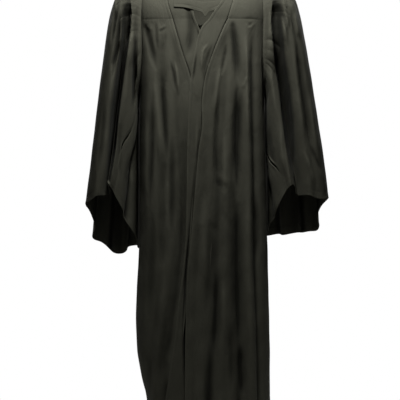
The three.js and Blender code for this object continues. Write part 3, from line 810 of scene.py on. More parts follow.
def beside_body(point):
    """Keeps a point of a sleeve beside the body's form."""
    x, y = point[..., 0], point[..., 1]
    z = np.maximum(point[..., 2], HEM_Z)
    depth = np.where(y < DEPTH_CENTRE_Y, read(BODY, "front", z), read(BODY, "back", z))
    share = np.minimum(1, np.abs(y - DEPTH_CENTRE_Y) / depth)
    c = share ** (1 / ROUNDNESS)
    half = read(BODY, "half", z) * np.sqrt(np.maximum(1 - c * c, 0)) ** ROUNDNESS
    flute = np.where(
        y > DEPTH_CENTRE_Y, read(BACK_FLUTE_PUSH, "push", z) * smooth((c - 0.1) / 0.4), 0
    )
    side = np.sign(x)
    limit = side * read(BODY, "middle_x", z) + half + SLEEVE_CLEAR + flute
    gap = side * x - limit
    kept = (gap + np.sqrt(gap * gap + SLEEVE_CLEAR_SOFTNESS**2)) / 2
    point[..., 0] = side * (limit + kept)
    return point


def seam_line(sleeve):
    """The name, as an angle, of the line along which a sleeve's forearm seam runs."""
    return sleeve["seam"]["around"][-1] + SEAM_LINE_SPREAD


def sleeve_angle(sleeve, line, down, apart):
    """The angle at which a line of the sleeve stands at a place down it."""
    seam_end = sleeve["seam"]["around"][-1]
    fixed = [(UNDERARM_SEAM_DEG - 360, 0.0), (UNDERARM_SEAM_DEG, 0.0)]
    for fold in sleeve["folds"]:
        hem = fold["hem"] - 360 if fold["hem"] > UNDERARM_SEAM_DEG else fold["hem"]
        if hem < seam_end:
            fixed.append((hem, fold["head"] - fold["hem"]))
    fixed.sort()
    names = np.array([f[0] for f in fixed] + [seam_line(sleeve)], float)
    order = np.argsort(names)
    drift = (1 - down) ** SLEEVE_FOLD_DRIFT
    now = [f[0] + f[1] * drift for f in fixed]
    now.append(read(sleeve["seam"], "around", down) + apart)
    now = np.stack(np.broadcast_arrays(*now), 0)[order]
    names = names[order]
    k = np.clip(np.searchsorted(names, line, side="left") - 1, 0, len(names) - 2)
    share = (line - names[k]) / (names[k + 1] - names[k])
    low = np.take_along_axis(now, k[None], 0)[0]
    high = np.take_along_axis(now, (k + 1)[None], 0)[0]
    return low + (high - low) * share


def sleeve_gathers(across, line, down):
    """How far the gathers of a sleeve's head stand out, with finer ones at the armhole seam."""
    fade = 1 - smooth((down - GATHER_FROM) / (GATHER_TO - GATHER_FROM))
    gathered = GATHER_PUSH * smooth((down - GATHER_FROM) / 0.06) * fade
    uneven = 26 * np.sin(np.radians(line * 4.1)) + 14 * np.sin(np.radians(line * 9.7))
    ridge = np.abs(np.cos(np.radians((across * GATHERS + uneven) / 2)))
    wave = gathered * (1.9 * np.sqrt(ridge + 0.02) - 1.3)
    fine = smooth(down / 0.02) * (1 - smooth((down - 0.05) / 0.16))
    finer = np.abs(np.cos(np.radians(across * FINE_GATHERS + uneven)))
    return wave + FINE_GATHER_PUSH * fine * (finer - 0.6)


def sleeve_surface(sleeve, upper):
    """The upper or the under part of a sleeve, from the armhole to the hem."""
    armhole = armhole_line(sleeve["side"])
    side = sleeve["side"]
    slit_from, slit_to, slit_open = sleeve["slit"]
    trim = np.degrees(SLEEVE_SEAM_GAP / 2 / FOREARM_RADIUS)
    seam = seam_line(sleeve)
    underarm = UNDERARM_SEAM_DEG - 360 + trim if upper else UNDERARM_SEAM_DEG - trim

    def surface(u, down):
        in_slit = np.clip((down - slit_from) / (slit_to - slit_from), 0, 1)
        wide = np.degrees(slit_open / 2 / ARM_RADIUS) * np.sin(np.pi * in_slit) ** 0.7
        apart = (trim + wide) * (-1 if upper else 1)
        share = u if (side > 0) == upper else 1 - u
        line = seam + (underarm - seam) * share
        around = sleeve_angle(sleeve, line, down, apart)
        at_hem = np.mod(sleeve_angle(sleeve, line, 1 + 0 * down, 0 * down) + 360, 360)
        section = {name: read(sleeve["sections"], name, down) for name in sleeve["sections"]}
        c, s = np.cos(np.radians(around)), np.sin(np.radians(around))
        out = np.stack([section["out_x"], SHOULDER_Y + 0 * down, section["out_z"]], -1)
        inside = np.stack([section["in_x"], section["in_y"], section["in_z"]], -1)
        reach = (out - inside) * 0.5 * c[..., None]
        reach[..., 1] -= np.where(s > 0, section["fore"], section["aft"]) * s
        aside = -unit(out - inside) * s[..., None]
        aside[..., 1] -= c
        away = unit(reach)
        for fold in sleeve["folds"]:
            turned = np.mod(np.abs(line - fold["hem"]), 360)
            grown = smooth((down - fold["start"]) / 0.24) * down**SLEEVE_FOLD_GROWTH
            here = (grown * bump(np.minimum(turned, 360 - turned), fold["half"]))[..., None]
            reach = reach + away * fold["push"] * here + aside * fold["lean"] * here
        wave = sleeve_gathers(line - seam, line, down)
        hanging = (out + inside) / 2 + reach + away * wave[..., None]
        hanging[..., 2] += read(sleeve["hem"], "rise", at_hem) * down**HEM_RISE_POWER
        hanging[..., 0] *= side
        hanging = beside_body(hanging)
        left = np.clip(down / SLEEVE_HEAD_BLEND, 0, 1)
        mix = ((smooth(left) + left) / 2)[..., None]
        return armhole(around) * (1 - mix) + hanging * mix

    return surface


def strap_surface(u, v):
    line = {name: read(STRAP_LINE, name, u) for name in STRAP_LINE}
    lower = line["lower"] - TAB_DROP * bump(line["x"] - TAB_X, TAB_HALF)
    z = line["upper"] + (lower - line["upper"]) * v
    share = (z - YOKE_SEAM_Z) / (shoulder_z(line["x"]) - YOKE_SEAM_Z)
    up = np.degrees(np.arcsin(np.clip(share, 0, 1)))
    return yoke_point(line["x"], up, line["proud"])


def grid_normals(points):
    """The way that each point of a grid faces, outwards."""
    across = np.gradient(points, axis=1)
    down = np.gradient(points, axis=0)
    return unit(np.cross(down, across))


def soften(values, times):
    """Averages a grid of points or directions with their neighbours, again and again."""
    for _ in range(times):
        for axis in (0, 1):
            ends = [(1, 1) if k == axis else (0, 0) for k in range(values.ndim)]
            wide = np.pad(values, ends, mode="edge")
            size = wide.shape[axis]
            low = wide.take(range(size - 2), axis)
            high = wide.take(range(2, size), axis)
            values = values / 2 + (low + high) / 4
    return values


def hollowness(points, normals):
    """How deep each point lies in a fold, as the mask of painted shade: below 0 on a ridge, where
    it paints a highlight, and 1 in a deep hollow.
    """
    return ((soften(points, HOLLOW_SOFTENED) - points) * normals).sum(-1) / HOLLOW_DEPTH


def edge_distances(points):
    """How far each point is from each edge of its grid, along the cloth."""
    across = np.linalg.norm(np.diff(points, axis=1), axis=2)
    down = np.linalg.norm(np.diff(points, axis=0), axis=2)
    from_left = np.pad(np.cumsum(across, axis=1), ((0, 0), (1, 0)))
    from_top = np.pad(np.cumsum(down, axis=0), ((1, 0), (0, 0)))
    return {
        "left": from_left,
        "right": from_left[:, -1:] - from_left,
        "top": from_top,
        "bottom": from_top[-1:] - from_top,
    }


def smooth_path(points):
    """A curve through the points, as closely spaced points with the length run so far."""
    run = np.append(0, np.cumsum(np.hypot(*np.diff(points, axis=0).T)))
    through = {"run": run, "x": points[:, 0], "z": points[:, 1]}
    fine = np.linspace(0, run[-1], 5 * len(points))
    return np.stack([read(through, "x", fine), read(through, "z", fine)], -1), fine / run[-1]


def beside_path(x, z, path, run):
    """How far points are from a path and to its side, and the share of its run beside them."""
    best = np.full(x.shape, np.inf)
    aside, share = np.zeros_like(x), np.zeros_like(x)
    for start, end, from_run, to_run in zip(path[:-1], path[1:], run[:-1], run[1:]):
        way_x, way_z = end - start
        length = np.hypot(way_x, way_z)
        t = np.clip(((x - start[0]) * way_x + (z - start[1]) * way_z) / length**2, 0, 1)
        off_x, off_z = x - start[0] - way_x * t, z - start[1] - way_z * t
        distance = np.hypot(off_x, off_z)
        closer = distance < best
        best = np.where(closer, distance, best)
        aside = np.where(closer, (off_z * way_x - off_x * way_z) / length, aside)
        share = np.where(closer, from_run + (to_run - from_run) * t, share)
    return best, aside, share


def crease_height(points, normals, lines, way):
    """How far creases lift or sink each point that faces their way, -1 for the front."""
    height = np.zeros(points.shape[:2])
    for left, right, push, line in lines:
        path, run = smooth_path(line)
        margin = 3 * max(left, right)
        low, high = path.min(0) - margin, path.max(0) + margin
        x, z = points[..., 0], points[..., 2]
        near = (x > low[0]) & (x < high[0]) & (z > low[1]) & (z < high[1])
        best, aside, share = beside_path(x[near], z[near], path, run)
        deep = push < DEEP_PUSH
        start = smooth(share / (DEEP_START if deep else CREASE_END))
        ends = start * smooth((1 - share) / CREASE_END)
        half = np.where(aside < 0, left, right) * (0.65 + 0.35 * ends)
        beyond = np.sqrt(np.maximum(best**2 - aside**2, 0))
        profile = np.exp(-np.abs(aside / half) ** (4 if deep else 2))
        height[near] += push * ends * profile * bump(beyond, CREASE_TIP)
    return height * smooth((way * normals[..., 1] + 0.1) / 0.4)


def unevenness(points):
    """The slight waviness of hanging cloth, longer down it than across it."""
    x, y, z = points[..., 0], points[..., 1], points[..., 2]
    wave = np.sin(x / 23 + 1.3 * np.sin(z / 170)) * np.sin(z / 118 + y / 60)
    drift = np.sin(x / 9.5 + z / 76 + 0.8 * np.sin(z / 41 + y / 33))
    cross = np.sin(x / 14 - z / 25 + 1.1 * np.sin(x / 37)) * np.sin(z / 47 + 1.7 * np.sin(x / 29))
    return 0.6 * wave + 0.3 * drift + 0.45 * cross


def to_last_row(layers, edge):
    """Turns a grid so that the named edge is its last row."""
    if edge == "top":
        return layers[::-1]
    if edge == "right":
        return layers.swapaxes(0, 1)
    if edge == "left":
        return layers[:, ::-1].swapaxes(0, 1)
    return layers


def from_last_row(layers, edge):
    """Turns a grid back."""
    if edge == "left":
        return layers.swapaxes(0, 1)[:, ::-1]
    return to_last_row(layers, edge)


def turn_under(layers, edge, width):
    """Folds an edge of the grid under itself, as a turned hem or the fold of a pleat."""
    grid = to_last_row(layers, edge)
    points, normals = grid[..., :3], grid[..., 3:6]
    beyond = unit(points[-1] - points[-2])
    radius = FOLD_GAP / 2
    rows = []
    for angle in (40, 90, 140):
        c, s = math.cos(math.radians(angle)), math.sin(math.radians(angle))
        row = grid[-1].copy()
        row[..., :3] = points[-1] + normals[-1] * radius * (c - 1) + beyond * radius * s
        rows.append(row)
    steps = np.linalg.norm(np.diff(points, axis=0), axis=2).mean(1)[::-1]
    count = int(np.searchsorted(np.cumsum(steps), width)) + 1
    for k in range(count + 1):
        row = grid[-1 - k].copy()
        row[..., :3] = points[-1 - k] - normals[-1 - k] * FOLD_GAP
        row[..., 6] = 0
        rows.append(row)
    return from_last_row(np.concatenate([grid, np.stack(rows)]), edge)


def seam_allowance(layers, edge, under):
    """Bends the cloth inwards past a seam, and under the next piece's allowance where told to."""
    grid = to_last_row(layers, edge)
    beyond = unit(grid[-1, :, :3] - grid[-2, :, :3])
    rows = []
    steps = [(0.15, 0.3), (0.18, ALLOWANCE_DEPTH / 2), (0.18, ALLOWANCE_DEPTH)]
    if under:
        steps += [(0.4, ALLOWANCE_DEPTH + 1.6), (4.5, ALLOWANCE_DEPTH + 2.4)]
    for out, down in steps:
        row = grid[-1].copy()
        row[:, :3] = grid[-1, :, :3] + beyond * out - grid[-1, :, 3:6] * down
        row[:, 6] = 0
        rows.append(row)
    return from_last_row(np.concatenate([grid, np.stack(rows)]), edge)


def select_only(obj):
    """Selects one object alone and makes it active."""
    bpy.ops.object.select_all(action="DESELECT")
    obj.select_set(True)
    bpy.context.view_layer.objects.active = obj


def place_on_grid(name, layers):
    """A new grid primitive whose vertices are moved to the points, with a UV map in metres."""
    rows, columns = layers.shape[:2]
    bpy.ops.object.select_all(action="DESELECT")
    bpy.ops.mesh.primitive_grid_add(x_subdivisions=columns - 1, y_subdivisions=rows - 1, size=2)
    obj = bpy.context.object
    obj.name = name
    mesh = obj.data
    mesh.name = name
    count = len(mesh.vertices)
    co = np.empty(count * 3)
    mesh.vertices.foreach_get("co", co)
    co = co.reshape(-1, 3)
    i = np.rint((co[:, 0] + 1) / 2 * (columns - 1)).astype(int)
    j = np.rint((1 - co[:, 1]) / 2 * (rows - 1)).astype(int)
    mesh.vertices.foreach_set("co", (layers[j, i, :3] / 1000).ravel())
    distance = edge_distances(layers[..., :3])
    flat_u = distance["left"].mean(0) / 1000
    flat_v = distance["top"].mean(1) / 1000
    loops = np.empty(len(mesh.loops), int)
    mesh.loops.foreach_get("vertex_index", loops)
    uv = np.stack([flat_u[i[loops]], -flat_v[j[loops]]], -1)
    mesh.uv_layers.active.data.foreach_set("uv", uv.ravel())
    # The fold layer carries the painted shade in folds and the painted highlight on ridges.
    for layer, label in ((6, "edge"), (7, "fold")):
        values = mesh.attributes.new(label, "FLOAT", "POINT")
        values.data.foreach_set("value", layers[j, i, layer])
    mesh.update()
    return obj


def finish_cloth(obj, thickness):
    """Gives the sheet its thickness inwards and shades it smooth up to its cut edges."""
    select_only(obj)
    bpy.ops.object.modifier_add(type="SOLIDIFY")
    solidify = obj.modifiers[-1]
    solidify.thickness = thickness
    solidify.offset = -1
    bpy.ops.object.modifier_apply(modifier=solidify.name)
    bpy.ops.object.shade_smooth_by_angle(angle=math.radians(SMOOTH_BELOW_DEG))


def crease_cloth(points, seams, widths, ease):
    """Gives a surface its waviness, creases, sunk seams and pressed edges, and masks its wear and
    the painted shade of its folds: the columns are the place, the normal, the wear and the fold
    mask of each point, which paints shade in folds and a highlight on ridges."""
    normals = grid_normals(points)
    distance = edge_distances(points)
    near = smooth(np.minimum.reduce(list(distance.values())) / EDGE_FADE)
    facing = unit(soften(normals, FACING_SOFTENED))
    behind = crease_height(points, facing, BACK_CREASES, 1)
    before = crease_height(points, facing, FRONT_CREASES, -1)
    height = unevenness(points) * near
    for edge in seams:
        dip = bpy.context.scene.gown_sizes.seam_dip * 1000
        height = height - dip * bump(distance[edge], SEAM_DIP_HALF)
    worn = 0 * height
    for edge, width in widths.items():
        height = height - PRESSED_DEPTH * bump(distance[edge] - width, PRESSED_HALF)
        worn = np.maximum(worn, bump(distance[edge], WORN_HALF))
    points = points + normals * height[..., None]
    eased = near * smooth(distance["top"] / ease) if "top" in seams else near
    points[..., 1] += (behind - before) * eased
    normals = grid_normals(points)
    # Painted shade: the fold mask grows with how far creases sink the cloth and how deep it lies in
    # a hollow, and goes below 0 on ridges to paint a highlight.
    sunk = -(behind + before) / CREASE_PAINTED_SHADE_DEPTH * eased
    fold = np.clip(np.maximum(hollowness(points, normals), sunk), RIDGE_PAINTED_HIGHLIGHT, 1) * near
    return np.concatenate([points, normals, worn[..., None], fold[..., None]], -1)


def cloth_piece(
    node, surface, columns, rows, seams, turned, finish="gown_cloth", ease=CREASE_EASE, turn=None
):
    """Makes one cut piece of cloth in a node's place, with its seams and its turned edges."""
    sizes = bpy.context.scene.gown_sizes
    seams = seams.split()
    widths = {edge: sizes.fold_width * 1000 for edge in turned.split()}
    if "bottom" in widths:
        widths["bottom"] = turn or sizes.hem_width * 1000
    name = f"{node}_cloth"
    layers = crease_cloth(surface(*np.meshgrid(columns, rows)), seams, widths, ease)
    MADE[name] = layers
    for edge, width in widths.items():
        layers = turn_under(layers, edge, width)
    for edge in seams:
        layers = seam_allowance(layers, edge, edge == "top" and not node.startswith("yoke"))
    obj = place_on_grid(name, layers)
    finish_cloth(obj, sizes.cloth_thickness)
    obj.data.materials.clear()
    obj.data.materials.append(cloth_material(finish))
    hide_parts(node)
    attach(obj, "root")


def fill(tree, node, inputs):
    """Puts values or links on a node's inputs."""
    for key, value in inputs.items():
        if isinstance(value, bpy.types.NodeSocket):
            tree.links.new(value, node.inputs[key])
        else:
            node.inputs[key].default_value = value


def add(tree, kind, inputs=None, **settings):
    """A shader node with its settings, and with values or links on its inputs."""
    node = tree.nodes.new(kind)
    for key, value in settings.items():
        setattr(node, key, value)
    fill(tree, node, inputs or {})
    return node


def noise(tree, vector, stretch, detail, **more):
    """Noise on coordinates that are stretched first, so that it has a size on each axis."""
    mapped = add(tree, "ShaderNodeMapping", {"Vector": vector, "Scale": stretch}).outputs[0]
    inputs = {"Vector": mapped, "Scale": 1.0, "Detail": detail, **more}
    return add(tree, "ShaderNodeTexNoise", inputs).outputs[0]


def maths(tree, operation, a, b=0.0):
    """The result of a sum on two values or links."""
    return add(tree, "ShaderNodeMath", {0: a, 1: b}, operation=operation).outputs[0]


def tinted(tree, color, shade):
    """A color or a place, times a number."""
    inputs = {0: color, "Scale": shade}
    return add(tree, "ShaderNodeVectorMath", inputs, operation="SCALE").outputs[0]


def woven_group():
    """Plain weave on the piece's own UV map, with slubs and mottling, paler worn edges, painted
    shade in its folds, a painted highlight on its ridges and a fine crumple."""
    name = "woven_cloth"
    if name in bpy.data.node_groups:
        return bpy.data.node_groups[name]
    group = bpy.data.node_groups.new(name, "ShaderNodeTree")
    for label, way, kind in (
        ("Cloth Color", "INPUT", "Color"),
        ("Thread Pitch", "INPUT", "Float"),
        ("Mottling", "INPUT", "Float"),
        ("Wear", "INPUT", "Float"),
        ("Painted Fold Shade", "INPUT", "Float"),
        ("Crumple", "INPUT", "Float"),
        ("Color", "OUTPUT", "Color"),
        ("Roughness", "OUTPUT", "Float"),
        ("Height", "OUTPUT", "Float"),
    ):
        group.interface.new_socket(label, in_out=way, socket_type=f"NodeSocket{kind}")
    entry = group.nodes.new("NodeGroupInput").outputs
    at = group.nodes.new("ShaderNodeTexCoord").outputs

    def times(a, b):
        return maths(group, "MULTIPLY", a, b)

    def plus(a, b):
        return maths(group, "ADD", a, b)

    def mask(label):
        return add(group, "ShaderNodeAttribute", attribute_name=label).outputs["Fac"]

    threads = tinted(group, at["UV"], maths(group, "DIVIDE", 1.0, entry["Thread Pitch"]))
    split = add(group, "ShaderNodeSeparateXYZ", {0: threads}).outputs
    across, along = (
        maths(group, "ABSOLUTE", maths(group, "SINE", times(split[axis], math.pi)))
        for axis in ("X", "Y")
    )
    cells = plus(maths(group, "FLOOR", split["X"]), maths(group, "FLOOR", split["Y"]))
    over = maths(group, "FLOORED_MODULO", cells, 2.0)
    weave = plus(times(across, over), times(along, maths(group, "SUBTRACT", 1.0, over)))
    slub = noise(group, at["UV"], SLUBS, 2.0)
    mottle = noise(group, at["Object"], MOTTLES, 4.0)
    crumple = noise(group, at["Object"], CRUMPLES, 5.0, Roughness=0.55, Distortion=0.6)
    dye = times(maths(group, "SUBTRACT", mottle, 0.5), entry["Mottling"])
    shade = plus(times(dye, 2.0), PLAIN_SHADE)
    shade = plus(shade, times(slub, SLUB_SHADE))
    shade = plus(shade, times(weave, WEAVE_SHADE))
    shade = plus(shade, times(mask("edge"), entry["Wear"]))
    # Painted shade: the fold mask darkens the cloth in its folds and, below 0, paints a highlight
    # on its ridges.
    painted_fold_darkening = times(mask("fold"), entry["Painted Fold Shade"])
    shade = times(shade, maths(group, "SUBTRACT", 1.0, painted_fold_darkening))
    height = plus(plus(weave, times(slub, SLUB_HEIGHT)), times(crumple, entry["Crumple"]))
    fill(group, group.nodes.new("NodeGroupOutput"), {
        "Color": tinted(group, entry["Cloth Color"], shade),
        "Roughness": plus(times(mottle, MOTTLE_ROUGHNESS), PLAIN_ROUGHNESS),
        "Height": height,
    })
    return group


def new_material(name):
    """A material with its node tree and its Principled BSDF."""
    material = bpy.data.materials.new(name)
    material.use_nodes = True
    tree = material.node_tree
    return material, tree, next(n for n in tree.nodes if n.type == "BSDF_PRINCIPLED")


def cloth_material(finish):
    """The woven material of a finish, made once."""
    name = f"woven_{finish}"
    if name in bpy.data.materials:
        return bpy.data.materials[name]
    looks = bpy.context.scene.gown_looks
    material, tree, shader = new_material(name)
    color = {
        "gown_cloth": looks.gown_color,
        "facing_cloth": looks.facing_color,
        "sewing_thread": looks.thread_color,
    }[finish]
    woven = {
        "Cloth Color": (*color, 1),
        "Thread Pitch": looks.weave_pitch,
        "Mottling": looks.mottling,
        "Wear": looks.edge_wear,
        "Painted Fold Shade": looks.painted_fold_shade,
        "Crumple": looks.crumple,
    }
    cloth = add(tree, "ShaderNodeGroup", woven, node_tree=woven_group()).outputs
    relief = {"Height": cloth["Height"], "Strength": 0.8, "Distance": 0.00008}
    fill(tree, shader, {
        "Base Color": cloth["Color"],
        "Roughness": cloth["Roughness"],
        "Normal": add(tree, "ShaderNodeBump", relief).outputs[0],
        "Specular IOR Level": 0.05,
        "Sheen Weight": 0.02,
        "Sheen Roughness": 0.45,
        "Sheen Tint": (0.86, 0.88, 0.8, 1),
    })
    return material


def floor_material(color):
    """Matt and faintly uneven."""
    material, tree, shader = new_material("pale_floor")
    at = tree.nodes.new("ShaderNodeTexCoord").outputs
    speckle = noise(tree, at["Object"], (6, 6, 6), 3.0)
    tone = maths(tree, "ADD", maths(tree, "MULTIPLY", speckle, 0.04), 0.98)
    fill(tree, shader, {"Base Color": tinted(tree, tuple(color), tone), "Roughness": 0.7})
    return material


def line_at(name, edge, distance):
    """A line on a made piece at a distance from one of its edges, with the cloth's normals."""
    grid = to_last_row(MADE[name], edge)[::-1]
    steps = np.linalg.norm(np.diff(grid[..., :3], axis=0), axis=2)
    along = np.pad(np.cumsum(steps, axis=0), ((1, 0), (0, 0)))
    columns = range(grid.shape[1])
    line = [[np.interp(distance, along[:, c], grid[:, c, k]) for k in range(6)] for c in columns]
    line = np.array(line)
    return line[:, :3], unit(line[:, 3:])


def stitch_shape(length, radius):
    """One stitch, modelled once: a short rounded length of thread that dips at both ends."""
    bpy.ops.object.select_all(action="DESELECT")
    bpy.ops.mesh.primitive_uv_sphere_add(segments=6, ring_count=4, radius=1)
    obj = bpy.context.object
    mesh = obj.data
    co = np.array([v.co[:] for v in mesh.vertices])
    faces = [tuple(p.vertices) for p in mesh.polygons]
    bpy.data.objects.remove(obj)
    bpy.data.meshes.remove(mesh)
    along = co[:, 2] * length / 2
    return np.stack([along, co[:, 0] * radius, (co[:, 1] + 0.4) * radius], -1), faces


def stitch_row(lines, pitch, length, radius):
    """Places a stitch each pitch along each line. Gives vertices and faces."""
    shape, faces = stitch_shape(length, radius)
    verts, polygons = [], []
    for points, normals in lines:
        along = np.append(0, np.cumsum(np.linalg.norm(np.diff(points, axis=0), axis=1)))

        def read_line(values, at):
            return np.array([np.interp(at, along, values[:, k]) for k in range(3)])

        for at in np.arange(pitch, along[-1] - pitch / 2, pitch):
            here = read_line(points, at)
            up = unit(read_line(normals, at))
            forward = unit(read_line(points, at + 1) - here)
            aside = unit(np.cross(up, forward))
            base = len(verts) * len(shape)
            verts.append(here + shape[:, :1] * forward + shape[:, 1:2] * aside + shape[:, 2:] * up)
            polygons.extend(tuple(base + k for k in face) for face in faces)
    return np.concatenate(verts), polygons


def share_grid(count):
    """Evenly spaced shares from 0 to 1."""
    return np.linspace(0, 1, count)


def spaced(*runs):
    """Shares from 0 to 1 in runs, each with the share where it ends and its number of places."""
    shares = np.zeros(1)
    for end, count in runs:
        shares = np.append(shares, np.linspace(shares[-1], end, count)[1:])
    return shares


def panel_rows(top, fine_to, fine, coarse):
    """Shares of the way down: fine rows to a depth, coarse ones below, and fine ones at the hem."""
    length = top - HEM_Z
    upper = np.arange(0, fine_to, fine)
    hem = length - np.arange(HEM_ROWS, -1, -1) * HEM_ROW_STEP
    middle = np.linspace(upper[-1], hem[0], int((hem[0] - upper[-1]) / coarse))[1:-1]
    return np.concatenate([upper, middle, hem]) / length


def for_side(side, shares):
    """Shares across a piece of the left side, or their mirror image for the right side."""
    return shares if side > 0 else (1 - shares)[::-1]


# Sizes and colours that a user may change


def length(name, description, default, low, high):
    return bpy.props.FloatProperty(
        name=name, description=description, default=default, min=low, max=high,
        unit="LENGTH", precision=5,
    )


def amount(name, description, default, high=1.0):
    return bpy.props.FloatProperty(
        name=name, description=description, default=default, min=0, max=high
    )


def power(name, description, default):
    return bpy.props.FloatProperty(
        name=name, description=description, default=default, min=0, unit="POWER"
    )


def color(name, description, default):
    return bpy.props.FloatVectorProperty(
        name=name, description=description, default=default, min=0, max=1, size=3, subtype="COLOR"
    )


class GownSizes(bpy.types.PropertyGroup):
    """Sizes of the cloth and its sewing"""

    cloth_thickness: length(
        "Cloth Thickness", "Thickness of one layer of cloth", 0.0008, 0.0003, 0.002
    )
    hem_width: length("Hem Width", "How far the hem is turned up inside", 0.02, 0.008, 0.05)
    fold_width: length(
        "Folded Edge Width", "How far the cloth is turned at a folded edge", 0.009, 0.004, 0.02
    )
    seam_dip: length("Seam Depth", "How far the cloth sinks at a seam", 0.0002, 0.0, 0.003)
    stitch_length: length(
        "Stitch Length", "Length of one stitch that shows", 0.0026, 0.001, 0.006
    )
    stitch_pitch: length(
        "Stitch Pitch", "Distance from one stitch to the next", 0.0042, 0.002, 0.01
    )
    thread_radius: length(
        "Thread Radius", "Half the thickness of the sewing thread", 0.00022, 0.0001, 0.0006
    )


class GownLooks(bpy.types.PropertyGroup):
    """Colours and weave of the cloth"""

    gown_color: color("Gown Color", "Color of the gown's cloth", (0.053, 0.0525, 0.04))
    facing_color: color(
        "Facing Color", "Color of the facings and the neck strap", (0.0505, 0.05, 0.038)
    )
    thread_color: color("Thread Color", "Color of the sewing thread", (0.024, 0.024, 0.022))
    weave_pitch: length(
        "Weave Pitch", "Distance from one thread of the weave to the next", 0.0005, 0.0002, 0.002
    )
    mottling: amount("Mottling", "How uneven the dye looks", 0.22)
    edge_wear: amount("Edge Wear", "How much paler the folded edges are", 0.22)
    crumple: amount("Crumple", "Height of the crumple, in heights of the weave", 45, 200)
    # Strength of the painted shade in folds and the painted highlight on ridges.
    painted_fold_shade: amount("Painted Fold Shade", "How much darker the cloth is deep in its folds", 0.78)


class StageSettings(bpy.types.PropertyGroup):
    """Floor, light and camera"""

    floor_color: color("Floor Color", "Color of the plain floor", (0.86, 0.86, 0.85))
    floor_drop: length(
        "Floor Below Hem", "How far the floor lies below the hem", 0.22, 0.02, 1.0
    )
    key_power: power("Key Light", "Power of the soft light above the front", 5.9)
    front_power: power("Front Light", "Power of the weak light in front", 0.3)
    back_power: power("Back Lights", "Power of each light behind", 8)
    sky_light: amount("Room Light", "Strength of the even light from all round", 0.01, 2)


class GOWN_OT_yoke(bpy.types.Operator):
    """Makes the back yoke and both front yokes"""

    bl_idname = "gown.yoke"
    bl_label = "Yoke"

    def execute(self, context):
        cloth_piece(
            "yoke_back", back_yoke_surface, share_grid(130), share_grid(40),
            "top bottom left right", "",
        )
        for side, word, inner, outer in SIDES:
            cloth_piece(
                f"yoke_front_{word}", front_yoke_surface(side),
                for_side(side, spaced((0.09, 6), (1, 52))), share_grid(52),
                f"top bottom {outer}", inner,
            )
        return {"FINISHED"}


class GOWN_OT_back(bpy.types.Operator):
    """Makes the back, gathered into the yoke seam"""

    bl_idname = "gown.back"
    bl_label = "Back"

    def execute(self, context):
        rows = panel_rows(YOKE_SEAM_Z - SEAM_GAP / 2, 200, 3.4, 8)
        cloth_piece("back", back_surface, share_grid(168), rows, "top left right", "bottom")
        return {"FINISHED"}


class GOWN_OT_fronts(bpy.types.Operator):
    """Makes the left and right front, each with its folded pleat edge"""

    bl_idname = "gown.fronts"
    bl_label = "Fronts"

    def execute(self, context):
        rows = panel_rows(YOKE_SEAM_Z - SEAM_GAP / 2, 240, 3, 9)
        for side, word, inner, outer in SIDES:
            cloth_piece(
                f"front_{word}", front_surface(side, FRONT_FOLDS[word]),
                for_side(side, spaced((0.04, 6), (1, 146))), rows,
                f"top {outer}", f"bottom {inner}",
            )
        return {"FINISHED"}


class GOWN_OT_facings(bpy.types.Operator):
    """Makes the facing of each front, from the shoulder to the hem"""

    bl_idname = "gown.facings"
    bl_label = "Facings"

    def execute(self, context):
        over_yoke = np.linspace(0, FACING_NECK_SHARE, 34)[:-1]
        below = panel_rows(YOKE_SEAM_Z, 300, 3.4, 7)
        rows = np.append(over_yoke, FACING_NECK_SHARE + (1 - FACING_NECK_SHARE) * below)
        for side, word, inner, _ in SIDES:
            cloth_piece(
                f"facing_{word}", facing_surface(side, FRONT_FOLDS[word]),
                for_side(side, spaced((0.1, 6), (1, 30))), rows,
                "", f"bottom {inner}", finish="facing_cloth",
            )
        return {"FINISHED"}


class GOWN_OT_sleeves(bpy.types.Operator):
    """Makes the upper and under part of each bell sleeve, with the arm slit between them"""

    bl_idname = "gown.sleeves"
    bl_label = "Sleeves"

    def execute(self, context):
        rows = spaced((0.2, 34), (0.95, 62), (1, 11))
        upper = spaced((0.46, 208), (1, 84))
        for side, word, _, _ in SIDES:
            sleeve = SLEEVES[word]
            under = share_grid(sleeve["under_columns"])
            for part, columns in (("upper", for_side(side, upper)), ("under", under)):
                cloth_piece(
                    f"sleeve_{part}_{word}", sleeve_surface(sleeve, part == "upper"),
                    columns, rows, "top left right", "bottom", ease=SLEEVE_CREASE_EASE,
                )
        return {"FINISHED"}


class GOWN_OT_neck_strap(bpy.types.Operator):
    """Makes the soft strap across the neck opening"""

    bl_idname = "gown.neck_strap"
    bl_label = "Neck Strap"

    def execute(self, context):
        cloth_piece(
            "neck_strap", strap_surface, share_grid(90), share_grid(24), "", "top bottom",
            finish="facing_cloth", turn=STRAP_TURN,
        )
        return {"FINISHED"}


